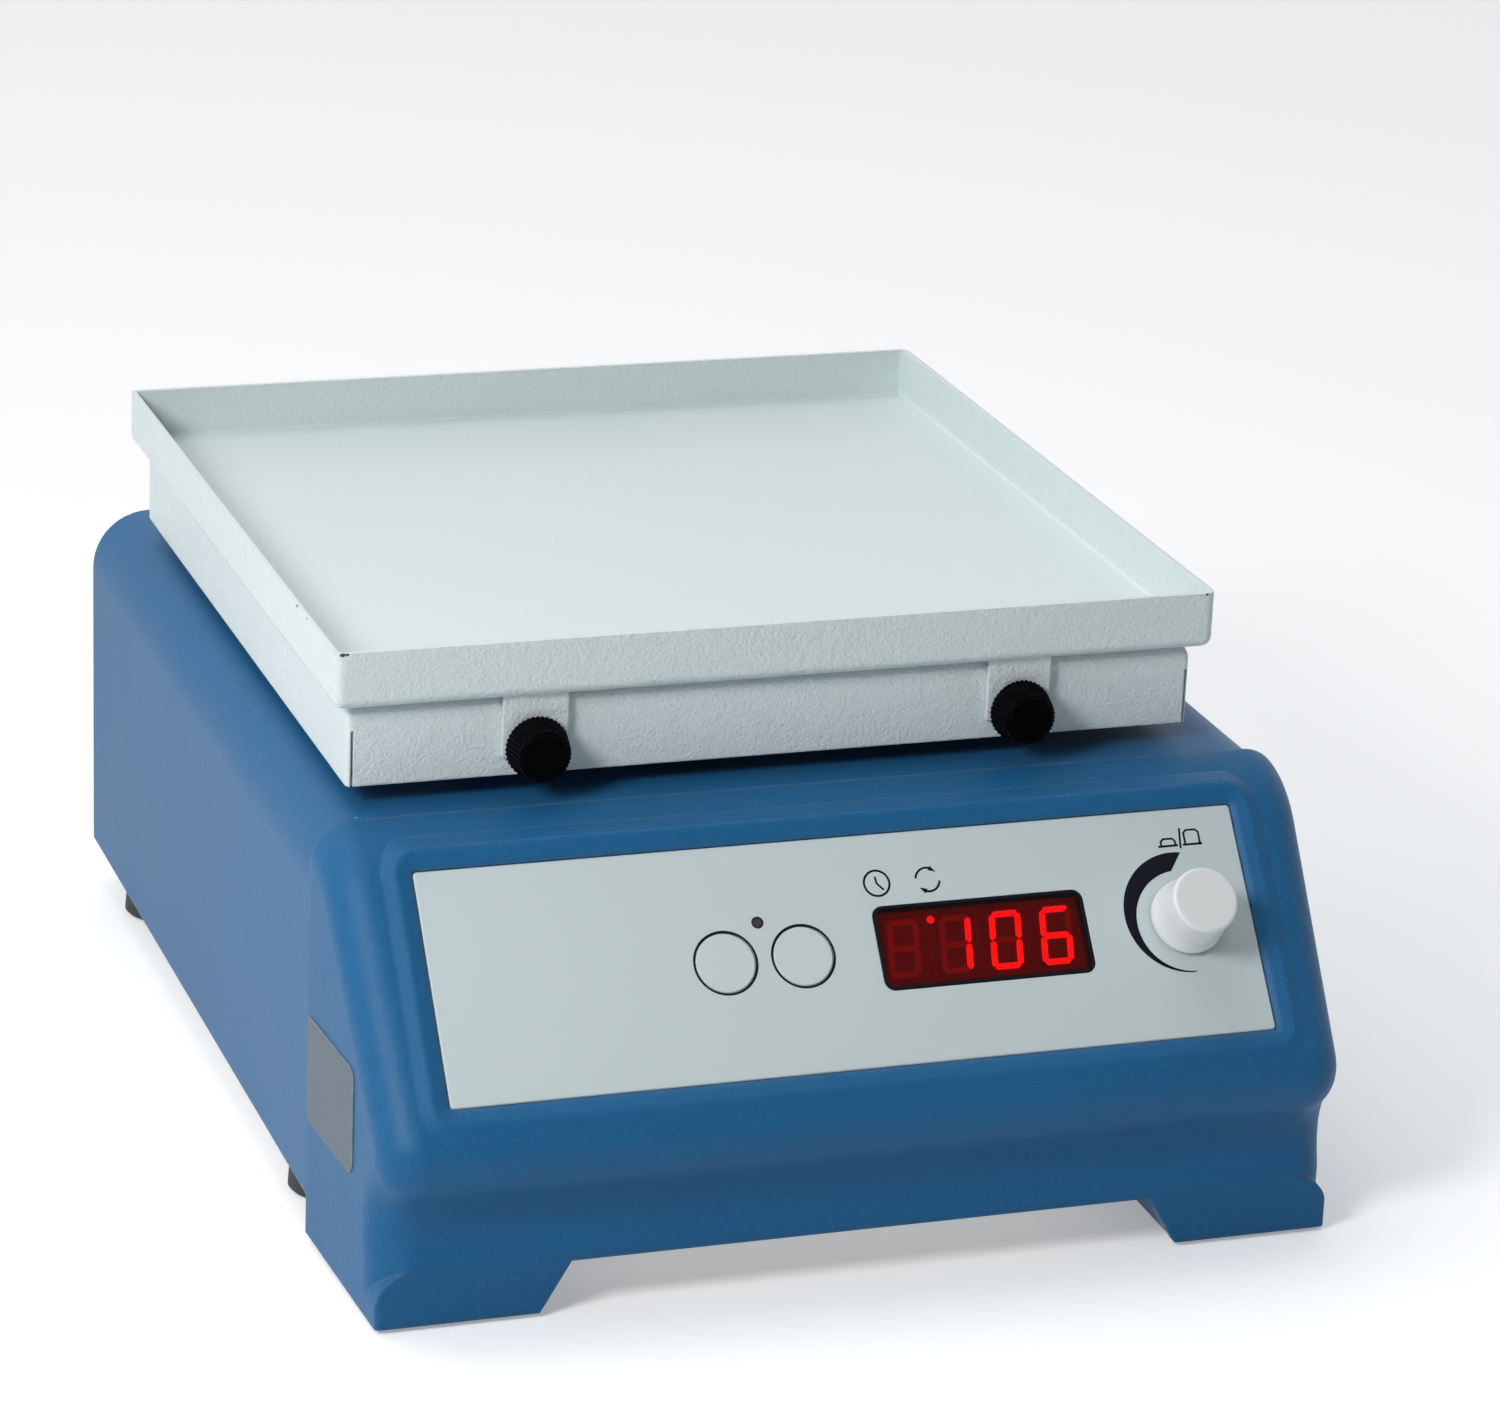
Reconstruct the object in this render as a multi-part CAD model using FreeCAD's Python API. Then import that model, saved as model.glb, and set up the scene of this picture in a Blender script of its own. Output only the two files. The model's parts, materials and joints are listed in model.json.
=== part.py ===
# Bench-top orbital shaker with a square tray, in millimetres.
# X runs to the right, Y to the rear, Z up from the bench.
# The origin lies on the bench under the middle of the bounding box.
# The drive crank stands at its rest angle, so the tray sits to the left and front of the crank's axis.
import FreeCAD, Part
import math
import os

os.makedirs("parts", exist_ok=True)
V = FreeCAD.Vector
UP = V(0, 0, 1)

# Housing, overall
HOUSING_WIDTH = 244.0
COVER_LENGTH = 243.0
NOSE_DEPTH = 60.0
INLET_PROUD = 2.0
HOUSING_TOP = 106.0
COVER_EDGE = 12.0
COVER_WALL = 2.8
COVER_RADIUS = 15.5
COVER_REAR_RADIUS = 1.6

# Nose moulding: side profile, taper and edges
NOSE_WALL = 3.2
NOSE_RADIUS = 28.0
NOSE_START_ANGLE = 4.0
NOSE_TILT = 50.3
NOSE_TAPER = 0.06
NOSE_EDGE_RADIUS = 10.0
BULGE_RADIUS = 12.0
NECK_DEPTH = 51.3
NECK_HEIGHT = 24.4
FLARE_RADIUS = 20.0
TOE_DEPTH = 53.0
TOE_TURN_RADIUS = 10.5
TOE_EDGE_RADIUS = 1.4
TOE_CLEARANCE = 1.0
TOE_REAR_CLEARANCE = 2.2
TOE_SHOULDER_HEIGHT = 15.0
TOE_SHOULDER_RADIUS = 9.0
TOE_SHOULDER_WIDTH = 14.0
TOE_WIDTH_BOTTOM = 42.5
TOE_WIDTH_TOP = 49.9
NOTCH_HEIGHT = 13.5
TOE_WALL_TOP = 12.8
TONGUE_LENGTH = 5.0
TONGUE_WALL = 1.5
TONGUE_PLAY = 0.15

# Panel recess and overlay, in the plane of the slope
PANEL_SIDE = 20.0
PANEL_HEIGHT = 57.0
PANEL_START = -3.8
PANEL_SINK = 0.6
PANEL_THICKNESS = 1.0
PANEL_CORNER = 1.0
PANEL_PLAY = 0.2
PANEL_CHAMFER = 0.3
RIM_PROUD = 0.9
RIM_STEP_OUT = 1.3
RIM_STEP_HEIGHT = 0.75
RIM_INNER_OUT = 3.9
RIM_CREST_SIDE = 4.6
RIM_CREST_TOP = 5.2
RIM_FOOT_SIDE = 7.6
RIM_FOOT_TOP = 6.4
RIM_ROOT_SIDE = 8.3
RIM_ROOT_TOP = 9.4
RIM_ROOT_DEPTH = 3.0
RIM_CORNER = 5.5

# Controls: places on the panel as x from its middle and distance down from its top edge
KEY_RADIUS = 7.3
KEY_PLAY = 0.25
KEY_Y = 28.4
START_KEY_X = -31.2
MODE_KEY_X = -12.1
KEY_STEM_RADIUS = 2.5
KEY_TRAVEL = 0.4
LAMP_X = -21.8
LAMP_Y = 19.3
LAMP_RADIUS = 1.25
WINDOW_X = 33.1
WINDOW_Y = 28.4
WINDOW_WIDTH = 53.2
WINDOW_HEIGHT = 20.8
WINDOW_CORNER = 2.7
WINDOW_LEDGE = 1.2
KNOB_SIDE = 17.0
KNOB_Y = 27.5
KNOB_BASE_RADIUS = 9.25
KNOB_CAP_RADIUS = 8.2
KNOB_HEIGHT = 14.0
KNOB_GAP = 0.8
KNOB_TRAVEL = 4.0
SPINDLE_RADIUS = 3.0
SLIDING_PLAY = 0.3
RUNNING_PLAY = 0.05

# Control board behind the panel
BOARD_SIDE = 7.0
BOARD_HEIGHT = 43.0
BOARD_THICKNESS = 1.6
BOARD_DEPTH = 9.2
BOARD_BOSS_RADIUS = 3.5
BOARD_BOSS_INSET = 5.0
SWITCH_SIZE = 17.0
SWITCH_DEPTH = 16.0
SWITCH_SLIDER_LENGTH = 8.0
CHIP_HEIGHT = 2.4
CHIP_SHARES = ((-0.32, 0.126), (-0.105, 0.084), (0.105, 0.084), (0.263, 0.105))

# Base plate, feet and screws
BASE_THICKNESS = 2.0
BASE_PLAY = 0.5
BASE_REACH = 46.0
BASE_CORNER = 6.0
BASE_FLANGE = 10.0
FOOT_HEIGHT = 13.0
FOOT_RADIUS = 10.0
FOOT_SIDE_INSET = 13.0
FOOT_REAR_INSET = 29.5
FOOT_FRONT_INSET = 28.5
FOOT_RECESS_RADIUS = 4.2
FOOT_RECESS_DEPTH = 6.0
SCREW_RADIUS = 1.5
SCREW_HEAD_RADIUS = 2.9
SCREW_HEAD_HEIGHT = 1.9
SCREW_LENGTH = 12.0
BOLT_RADIUS = 2.0
BOLT_HEAD_RADIUS = 3.5
BOLT_HEAD_HEIGHT = 3.0
SCREW_PLAY = 0.1
COVER_BOSS_RADIUS = 4.5
COVER_BOSS_HEIGHT = 26.0
COVER_BOSS_INSET = 8.0
COVER_BOSS_END = 12.0
VENT_COUNT = 6
VENT_PITCH = 16.0
VENT_LENGTH = 28.0
VENT_WIDTH = 4.0

# Sheet tray and carriage
TRAY_SIZE = 220.0
TRAY_HEIGHT = 14.0
TRAY_SHEET = 1.5
TRAY_CORNER = 2.5
TRAY_BEND = 2.6
TRAY_SEAT_GAP = 0.1
CARRIAGE_INSET = 4.2
CARRIAGE_HEIGHT = 20.2
CARRIAGE_SHEET = 1.5
CARRIAGE_GAP = 5.2
CARRIAGE_BEND = 3.6
CORNER_SLIT = 0.6
SLIT_TOP = 6.5
SLIT_LEFT = 1.0
SLIT_RIGHT = 0.5
TAB_WIDTH = 16.0
TAB_X = 60.7
TAB_LENGTH = 15.3
TAB_GAP = 0.3

# Thumb screws that hold the tray
THUMB_DROP = 12.75
THUMB_REAR_RADIUS = 7.8
THUMB_FRONT_RADIUS = 6.35
THUMB_LENGTH = 7.3
THUMB_TEETH = 40
THUMB_TOOTH = 0.32
THUMB_SHANK_RADIUS = 2.0
THUMB_SLOT_PLAY = 0.5
WASHER_RADIUS = 5.5
WASHER_THICKNESS = 1.0
NUT_RADIUS = 4.5
NUT_LENGTH = 6.0

# Drive: the central crank, three guiding idler cranks, pulleys and motor
REAR_ROOM = 41.2
ORBIT_RADIUS = 8.0
REST_ANGLE = 223.5
IDLER_CIRCLE = 80.0
IDLER_ANGLES = (90.0, 210.0, 330.0)
CHASSIS_TOP = 83.0
CHASSIS_THICKNESS = 3.0
CHASSIS_HALF_WIDTH = 97.0
CHASSIS_FRONT = 70.5
CHASSIS_REAR_GAP = 12.7
CHASSIS_OPENING_LENGTH = 52.0
CHASSIS_OPENING_WIDTH = 28.0
CHASSIS_OPENING_START = 8.0
CHASSIS_OPENING_RADIUS = 10.0
CHASSIS_CORNER = 8.0
PILLAR_RADIUS = 5.8
PILLAR_INSET_X = 11.0
PILLAR_INSET_Y = 8.0
WEB_CLEARANCE = 1.7
CRANK_WEB_THICKNESS = 4.0
CRANK_WEB_RADIUS = 20.0
CRANK_SHAFT_RADIUS = 7.5
CRANK_SEAT_RADIUS = 6.0
CRANK_PIN_RADIUS = 6.0
CRANK_HUB_RADIUS = 9.0
WEIGHT_RADIUS = 58.0
WEIGHT_ARC = 160.0
WEIGHT_THICKNESS = 7.0
WEIGHT_PLATE = 3.5
WEIGHT_CLAMP_RADIUS = 19.0
IDLER_WEB_RADIUS = 14.0
IDLER_WEB_THICKNESS = 6.0
IDLER_WEB_TOP = 98.0
IDLER_SHAFT_RADIUS = 4.0
PIVOT_PLAY = 0.3
PIN_HOLE_PLAY = 3.0
COLLAR_HEIGHT = 3.0
COLLAR_WALL = 2.2

# Bearings: outer radius, width, and length of the housing bore between a pair
CRANK_BEARING_RADIUS = 16.0
CRANK_BEARING_WIDTH = 9.0
CARRIAGE_BEARING_RADIUS = 14.0
CARRIAGE_BEARING_WIDTH = 8.0
IDLER_BEARING_RADIUS = 11.0
IDLER_BEARING_WIDTH = 7.0
CRANK_HOUSING_LENGTH = 31.0
CRANK_HOUSING_WALL = 6.0
CRANK_FLANGE_RADIUS = 36.0
CRANK_FLANGE_THICKNESS = 5.0
IDLER_HOUSING_LENGTH = 23.0
IDLER_HOUSING_WALL = 2.5
IDLER_FLANGE_RADIUS = 20.0
IDLER_FLANGE_THICKNESS = 4.0
HOLDER_WALL = 4.0
HOLDER_FLANGE = 7.0
HOLDER_FLANGE_THICKNESS = 3.0
HOLDER_CHAMFER = 0.5
HOLDER_CLEARANCE = 3.0
BEARING_SEAT = 0.8
BEARING_RING = 2.0
BEARING_SHIELD = 0.5

# Belt drive
PULLEY_BOTTOM = 40.0
PULLEY_WIDTH = 14.0
DRIVEN_RADIUS = 38.0
MOTOR_PULLEY_RADIUS = 9.5
MOTOR_REAR_GAP = 3.7
RIB_COUNT = 4
RIB_PITCH = 2.34
GROOVE_DEPTH = 1.6
BELT_GAP = 0.3
BELT_BACK = 1.6
BELT_RIB = 1.3
MOTOR_RADIUS = 32.0
MOTOR_HEIGHT = 20.0
MOTOR_FLANGE = 68.0
MOTOR_FLANGE_THICKNESS = 3.0
MOTOR_SHAFT_RADIUS = 3.0
MOTOR_BOLT_INSET = 5.5
MOTOR_BOLT_LENGTH = 6.0

# Mains inlet and power board
INLET_X = -52.0
INLET_Z = 42.0
INLET_WIDTH = 31.0
INLET_HEIGHT = 41.0
INLET_BODY_DEPTH = 30.0
INLET_LIP = 2.2
PLUG_WIDTH = 25.0
PLUG_HEIGHT = 17.0
PLUG_DEPTH = 17.0
PLUG_DROP = 7.0
PIN_LENGTH = 14.5
PIN_BROAD = 4.0
PIN_NARROW = 2.0
PIN_SPREAD = 7.0
DRAWER_WIDTH = 23.0
DRAWER_HEIGHT = 10.0
DRAWER_LENGTH = 24.0
DRAWER_RISE = 11.0
DRAWER_TRAVEL = 20.0
DRAWER_WALL = 1.2
FUSE_RADIUS = 2.6
FUSE_LENGTH = 20.0
FUSE_PLAY = 0.1
POWER_SIDE_GAP = 8.2
POWER_REAR_GAP = 40.7
POWER_WIDTH = 60.0
POWER_LENGTH = 112.0
POWER_LIFT = 8.0
POWER_INSET = 5.0
CORE_WIDTH = 34.0
CORE_DEPTH = 16.0
CORE_HEIGHT = 28.0
CORE_LIFT = 3.0
WINDING_WIDTH = 24.0
WINDING_DEPTH = 28.0
WINDING_HEIGHT = 22.0
WINDING_CORNER = 4.0
CAN_RADIUS = 8.0
CAN_HEIGHT = 28.0
SMALL_CAN_RADIUS = 6.5
SMALL_CAN_HEIGHT = 22.0
CAN_SPACING = 20.0
CAN_CHAMFER = 0.8
SINK_WIDTH = 44.0
SINK_HEIGHT = 26.0
SINK_BASE = 3.0
SINK_DEPTH = 10.0
SINK_FIN = 1.6
SINK_FINS = 7

# Derived planes and places
Y_FRONT = -(COVER_LENGTH + NOSE_DEPTH + INLET_PROUD) / 2
Y_CREASE = Y_FRONT + NOSE_DEPTH
Y_REAR = Y_CREASE + COVER_LENGTH
HALF_WIDTH = HOUSING_WIDTH / 2
PANEL_WIDTH = HOUSING_WIDTH - 2 * PANEL_SIDE
KNOB_X = PANEL_WIDTH / 2 - KNOB_SIDE
BOARD_WIDTH = PANEL_WIDTH - 2 * BOARD_SIDE
NOTCH_HALF_BOTTOM = HALF_WIDTH - TOE_WIDTH_BOTTOM
NOTCH_HALF_TOP = HALF_WIDTH - TOE_WIDTH_TOP
FOOT_X = HALF_WIDTH - FOOT_SIDE_INSET
CRANK_Y = Y_REAR - COVER_WALL - REAR_ROOM - IDLER_CIRCLE
PIN_DX = ORBIT_RADIUS * math.cos(math.radians(REST_ANGLE))
PIN_DY = ORBIT_RADIUS * math.sin(math.radians(REST_ANGLE))
TRAY_X = PIN_DX
TRAY_Y = CRANK_Y + PIN_DY
CARRIAGE_BOTTOM = HOUSING_TOP + CARRIAGE_GAP
CARRIAGE_TOP = CARRIAGE_BOTTOM + CARRIAGE_HEIGHT
TRAY_BOTTOM = CARRIAGE_TOP + TRAY_SEAT_GAP
TRAY_TOP = TRAY_BOTTOM + TRAY_HEIGHT
CARRIAGE_HALF = TRAY_SIZE / 2 - CARRIAGE_INSET
BASE_BOTTOM = FOOT_HEIGHT
BASE_TOP = BASE_BOTTOM + BASE_THICKNESS
CHASSIS_BOTTOM = CHASSIS_TOP - CHASSIS_THICKNESS
WEB_TOP = HOUSING_TOP - COVER_WALL - WEB_CLEARANCE
WEB_BOTTOM = WEB_TOP - CRANK_WEB_THICKNESS
HOLDER_TOP = CARRIAGE_TOP - CARRIAGE_SHEET
HOLDER_BOTTOM = HOUSING_TOP + COLLAR_HEIGHT + HOLDER_CLEARANCE
MOTOR_Y = Y_REAR - COVER_WALL - MOTOR_REAR_GAP - MOTOR_FLANGE / 2
PULLEY_SPACING = MOTOR_Y - CRANK_Y
POWER_X = HALF_WIDTH - COVER_WALL - POWER_SIDE_GAP - POWER_WIDTH / 2
POWER_Y = Y_REAR - COVER_WALL - POWER_REAR_GAP - POWER_LENGTH / 2
CHASSIS_REAR_EDGE = Y_REAR - COVER_WALL - CHASSIS_REAR_GAP
THUMB_Z = TRAY_BOTTOM - THUMB_DROP
CARRIAGE_FRONT = TRAY_Y - CARRIAGE_HALF
TAB_BACK = CARRIAGE_FRONT - TAB_GAP
TAB_FACE = TAB_BACK - TRAY_SHEET
WASHER_BACK = TAB_FACE - TAB_GAP
WASHER_FACE = WASHER_BACK - WASHER_THICKNESS
THUMB_BACK = WASHER_FACE - TRAY_SEAT_GAP
IDLER_PLACES = [
    (
        IDLER_CIRCLE * math.cos(math.radians(a)),
        CRANK_Y + IDLER_CIRCLE * math.sin(math.radians(a)),
    )
    for a in IDLER_ANGLES
]
SLOPE = math.radians(NOSE_TILT)
SLOPE_OUT = (math.sin(SLOPE), math.cos(SLOPE))
SLOPE_DOWN = (math.cos(SLOPE), -math.sin(SLOPE))


def save(name, shape):
    """Writes one node; a list of solids becomes one group."""
    if isinstance(shape, (list, tuple)):
        shape = Part.makeCompound(list(shape))
    shape.exportStep("parts/" + name + ".step")


def box(x0, x1, y0, y1, z0, z1):
    return Part.makeBox(x1 - x0, y1 - y0, z1 - z0, V(x0, y0, z0))


def rod(x, y, radius, z0, z1):
    """Upright cylinder."""
    return Part.makeCylinder(radius, z1 - z0, V(x, y, z0), UP)


def rod_y(x, z, radius, y0, y1):
    """Cylinder along Y."""
    return Part.makeCylinder(radius, y1 - y0, V(x, y0, z), V(0, 1, 0))


def turned(points, x=0.0, y=0.0):
    """Solid of revolution about an upright axis, from (radius, z) points."""
    wire = Part.makePolygon([V(r, 0, z) for r, z in points] + [V(points[0][0], 0, points[0][1])])
    solid = Part.Face(wire).revolve(V(0, 0, 0), UP, 360)
    solid.translate(V(x, y, 0))
    return solid


def prism(points, direction):
    """Closed polygon swept along a vector."""
    return Part.Face(Part.makePolygon(list(points) + [points[0]])).extrude(direction)


def round_rect(x0, x1, y0, y1, radius, z):
    """Wire of a rectangle with round corners, flat at height z."""
    k = radius * (1 - math.sqrt(0.5))
    corners = [
        (V(x1 - radius, y0, z), V(x1 - k, y0 + k, z), V(x1, y0 + radius, z)),
        (V(x1, y1 - radius, z), V(x1 - k, y1 - k, z), V(x1 - radius, y1, z)),
        (V(x0 + radius, y1, z), V(x0 + k, y1 - k, z), V(x0, y1 - radius, z)),
        (V(x0, y0 + radius, z), V(x0 + k, y0 + k, z), V(x0 + radius, y0, z)),
    ]
    edges = []
    for i, (start, middle, end) in enumerate(corners):
        edges.append(Part.Arc(start, middle, end).toShape())
        edges.append(Part.LineSegment(end, corners[(i + 1) % 4][0]).toShape())
    return Part.Wire(edges)


def round_plate(x0, x1, y0, y1, radius, z0, z1):
    return Part.Face(round_rect(x0, x1, y0, y1, radius, z0)).extrude(V(0, 0, z1 - z0))


def fuse_all(shapes):
    first = shapes[0]
    if len(shapes) > 1:
        first = first.fuse(shapes[1:])
    return first.removeSplitter()


def hex_prism(x, y, radius, z0, z1):
    """Six-sided bar; radius reaches the corners."""
    ring = [
        V(x + radius * math.cos(math.radians(60 * i)), y + radius * math.sin(math.radians(60 * i)), z0)
        for i in range(6)
    ]
    return prism(ring, V(0, 0, z1 - z0))


def screw(x, y, seat, length, radius, head_radius, head_height, rising):
    """Machine screw: the head lies below its seat when the shank rises, above it otherwise."""
    if rising:
        head = rod(x, y, head_radius, seat - head_height, seat)
        shank = rod(x, y, radius, seat, seat + length)
        rim = [e for e in head.Edges if abs(e.CenterOfMass.z - (seat - head_height)) < 1e-6]
    else:
        head = rod(x, y, head_radius, seat, seat + head_height)
        shank = rod(x, y, radius, seat - length, seat)
        rim = [e for e in head.Edges if abs(e.CenterOfMass.z - (seat + head_height)) < 1e-6]
    head = head.makeChamfer(head_height * 0.25, rim[:1])
    return head.fuse(shank).removeSplitter()


# Slope frame: x right, y up the slope from the overlay's top edge, z out of the overlay's face


def nose_centre():
    start = math.radians(NOSE_START_ANGLE)
    return (-NOSE_RADIUS * math.sin(start), HOUSING_TOP - NOSE_RADIUS * math.cos(start))


def slope_origin():
    """Depth and height of the overlay's top edge, on its outer face."""
    ca, cz = nose_centre()
    depth = ca + NOSE_RADIUS * SLOPE_OUT[0] + PANEL_START * SLOPE_DOWN[0] - PANEL_SINK * SLOPE_OUT[0]
    height = cz + NOSE_RADIUS * SLOPE_OUT[1] + PANEL_START * SLOPE_DOWN[1] - PANEL_SINK * SLOPE_OUT[1]
    return depth, height


def on_slope(shape):
    """Moves a shape from the slope frame to its place."""
    depth, height = slope_origin()
    place = FreeCAD.Placement(V(0, Y_CREASE - depth, height), FreeCAD.Rotation(V(1, 0, 0), NOSE_TILT))
    moved = shape.copy()
    moved.Placement = place.multiply(moved.Placement)
    return moved


# Housing shells


def cover_section(inset, y):
    """Arch of the rear cover's cross-section, open box with round upper corners."""
    half = HALF_WIDTH - inset
    top = HOUSING_TOP - inset
    radius = COVER_RADIUS - inset
    low = COVER_EDGE
    k = radius * (1 - math.sqrt(0.5))
    edges = [
        Part.LineSegment(V(-half, y, low), V(-half, y, top - radius)).toShape(),
        Part.Arc(V(-half, y, top - radius), V(-half + k, y, top - k), V(-half + radius, y, top)).toShape(),
        Part.LineSegment(V(-half + radius, y, top), V(half - radius, y, top)).toShape(),
        Part.Arc(V(half - radius, y, top), V(half - k, y, top - k), V(half, y, top - radius)).toShape(),
        Part.LineSegment(V(half, y, top - radius), V(half, y, low)).toShape(),
        Part.LineSegment(V(half, y, low), V(-half, y, low)).toShape(),
    ]
    return Part.Wire(edges)


def pin_holes():
    """Centre and radius of each hole that a crank pin swings in."""
    holes = [(0.0, CRANK_Y, ORBIT_RADIUS + CRANK_PIN_RADIUS + PIN_HOLE_PLAY)]
    for x, y in IDLER_PLACES:
        holes.append((x, y, ORBIT_RADIUS + IDLER_SHAFT_RADIUS + PIN_HOLE_PLAY))
    return holes


def cover_boss_places():
    x = HALF_WIDTH - COVER_WALL - COVER_BOSS_INSET
    ends = (Y_CREASE + COVER_BOSS_END, Y_REAR - COVER_WALL - COVER_BOSS_END)
    return [(side * x, y) for side in (-1, 1) for y in ends]


def screw_boss(x, y, wall_x):
    """Round boss on the base plate with a web to the side wall."""
    top = BASE_TOP + COVER_BOSS_HEIGHT
    web = box(min(x, wall_x), max(x, wall_x), y - 1.2, y + 1.2, BASE_TOP, top)
    return [rod(x, y, COVER_BOSS_RADIUS, BASE_TOP, top), web]


def boss_bore(x, y):
    return rod(x, y, SCREW_RADIUS + RUNNING_PLAY, BASE_TOP - 1, BASE_BOTTOM + SCREW_LENGTH + 1)


def rear_cover():
    outer = Part.Face(cover_section(0, Y_CREASE)).extrude(V(0, COVER_LENGTH, 0))
    rear = [
        e for e in outer.Edges if abs(e.CenterOfMass.y - Y_REAR) < 1e-6 and e.CenterOfMass.z > COVER_EDGE + 1
    ]
    outer = outer.makeFillet(COVER_REAR_RADIUS, rear)
    inner = Part.Face(cover_section(COVER_WALL, Y_CREASE - 1)).extrude(V(0, COVER_LENGTH + 1 - COVER_WALL, 0))
    shell = outer.cut(inner)
    adds = []
    for x, y, radius in pin_holes():
        collar_radius = radius + COLLAR_WALL
        collar = rod(x, y, collar_radius, HOUSING_TOP - COVER_WALL, HOUSING_TOP + COLLAR_HEIGHT)
        rim = [e for e in collar.Edges if abs(e.CenterOfMass.z - HOUSING_TOP - COLLAR_HEIGHT) < 1e-6]
        adds.append(collar.makeChamfer(COLLAR_WALL / 3, rim[:1]))
    wall_x = HALF_WIDTH - COVER_WALL / 2
    for x, y in cover_boss_places():
        adds += screw_boss(x, y, math.copysign(wall_x, x))
    shell = fuse_all([shell] + adds)
    cuts = [boss_bore(x, y) for x, y in cover_boss_places()]
    for x, y, radius in pin_holes():
        cuts.append(rod(x, y, radius, HOUSING_TOP - COVER_WALL - 1, HOUSING_TOP + COLLAR_HEIGHT + 1))
    half_w = INLET_WIDTH / 2 - INLET_LIP + PANEL_PLAY
    half_h = INLET_HEIGHT / 2 - INLET_LIP + PANEL_PLAY
    cuts.append(
        box(
            INLET_X - half_w,
            INLET_X + half_w,
            Y_REAR - 2 * COVER_WALL,
            Y_REAR + 1,
            INLET_Z - half_h,
            INLET_Z + half_h,
        )
    )
    return shell.cut(cuts)


def nose_geometry():
    """Centres and radii of the arcs in the nose's side profile, as (depth, height)."""
    nose = nose_centre()
    offset = SLOPE_OUT[0] * nose[0] + SLOPE_OUT[1] * nose[1] + NOSE_RADIUS
    bulge_a = NOSE_DEPTH - BULGE_RADIUS
    bulge_z = (offset - BULGE_RADIUS - SLOPE_OUT[0] * bulge_a) / SLOPE_OUT[1]
    reach = NECK_DEPTH - bulge_a
    fall = bulge_z - NECK_HEIGHT
    cove_radius = (reach ** 2 + fall ** 2 - BULGE_RADIUS ** 2) / (2 * (BULGE_RADIUS - reach))
    cove = (NECK_DEPTH + cove_radius, NECK_HEIGHT)
    flare = (NECK_DEPTH + FLARE_RADIUS, NECK_HEIGHT)
    turn_a = TOE_DEPTH - TOE_TURN_RADIUS
    turn_z = NECK_HEIGHT - math.sqrt((FLARE_RADIUS + TOE_TURN_RADIUS) ** 2 - (flare[0] - turn_a) ** 2)
    return nose, (bulge_a, bulge_z), cove, cove_radius, flare, (turn_a, turn_z)


def arc_piece(centre, radius, start, end):
    """Arc in the profile plane; angles in degrees from forward, towards up."""
    middle = (start + end) / 2
    points = []
    for angle in (start, middle, end):
        t = math.radians(angle)
        points.append(V(0, Y_CREASE - centre[0] - radius * math.cos(t), centre[1] + radius * math.sin(t)))
    return Part.Arc(points[0], points[1], points[2]).toShape(), points[0], points[2]


def nose_profile(inset):
    """Closed side profile; a positive inset gives the inner face, open at the rear and below."""
    nose, bulge, cove, cove_radius, flare, turn = nose_geometry()
    to_cove = math.degrees(math.atan2(cove[1] - bulge[1], cove[0] - bulge[0]))
    to_turn = math.degrees(math.atan2(flare[1] - turn[1], flare[0] - turn[0]))
    slope_angle = 90 - NOSE_TILT
    arcs = [
        arc_piece(nose, NOSE_RADIUS - inset, 90 - NOSE_START_ANGLE, slope_angle),
        arc_piece(bulge, BULGE_RADIUS - inset, slope_angle, to_cove),
        arc_piece(cove, cove_radius + inset, to_cove + 180, 180),
        arc_piece(flare, FLARE_RADIUS + inset, 180, 180 + to_turn),
        arc_piece(turn, TOE_TURN_RADIUS - inset, to_turn, 0),
    ]
    low = TOE_CLEARANCE if inset == 0 else TOE_CLEARANCE - 2
    rear_low = TOE_REAR_CLEARANCE if inset == 0 else low
    back = Y_CREASE if inset == 0 else Y_CREASE + 2
    first = arcs[0][1]
    last = arcs[-1][2]
    corners = [last, V(0, last.y, low), V(0, back, rear_low), V(0, back, first.z)]
    if inset > 0:
        corners.append(first)
    edges = [arcs[0][0], Part.LineSegment(arcs[0][2], arcs[1][1]).toShape()]
    edges += [piece[0] for piece in arcs[1:]]
    for start, stop in zip(corners, corners[1:]):
        edges.append(Part.LineSegment(start, stop).toShape())
    return Part.Wire(Part.sortEdges(edges)[0])


def nose_body(inset, edge_radius):
    """Nose form between its tapering sides, with rolled edges."""
    slab = Part.Face(nose_profile(inset)).extrude(V(2 * HALF_WIDTH + 20, 0, 0))
    slab.translate(V(-HALF_WIDTH - 10, 0, 0))
    rear_half = HALF_WIDTH - inset + NOSE_TAPER * 4
    front_half = HALF_WIDTH - inset - NOSE_TAPER * (NOSE_DEPTH + 6)
    plan = [
        V(-rear_half, Y_CREASE + 4, -5),
        V(rear_half, Y_CREASE + 4, -5),
        V(front_half, Y_FRONT - 6, -5),
        V(-front_half, Y_FRONT - 6, -5),
    ]
    body = slab.common(prism(plan, V(0, 0, HOUSING_TOP + 10)))
    back = body.BoundBox.YMax
    low = body.BoundBox.ZMin
    rolled = []
    for edge in body.Edges:
        middle = edge.valueAt((edge.FirstParameter + edge.LastParameter) / 2)
        side = HALF_WIDTH - inset - NOSE_TAPER * (Y_CREASE - middle.y)
        sill = low if inset > 0 else TOE_REAR_CLEARANCE
        upper = middle.z > sill + 0.01 and middle.y < back - 0.01
        if abs(abs(middle.x) - side) < 0.01 and upper:
            rolled.append(edge)
    return body.makeFillet(edge_radius, rolled)


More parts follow.
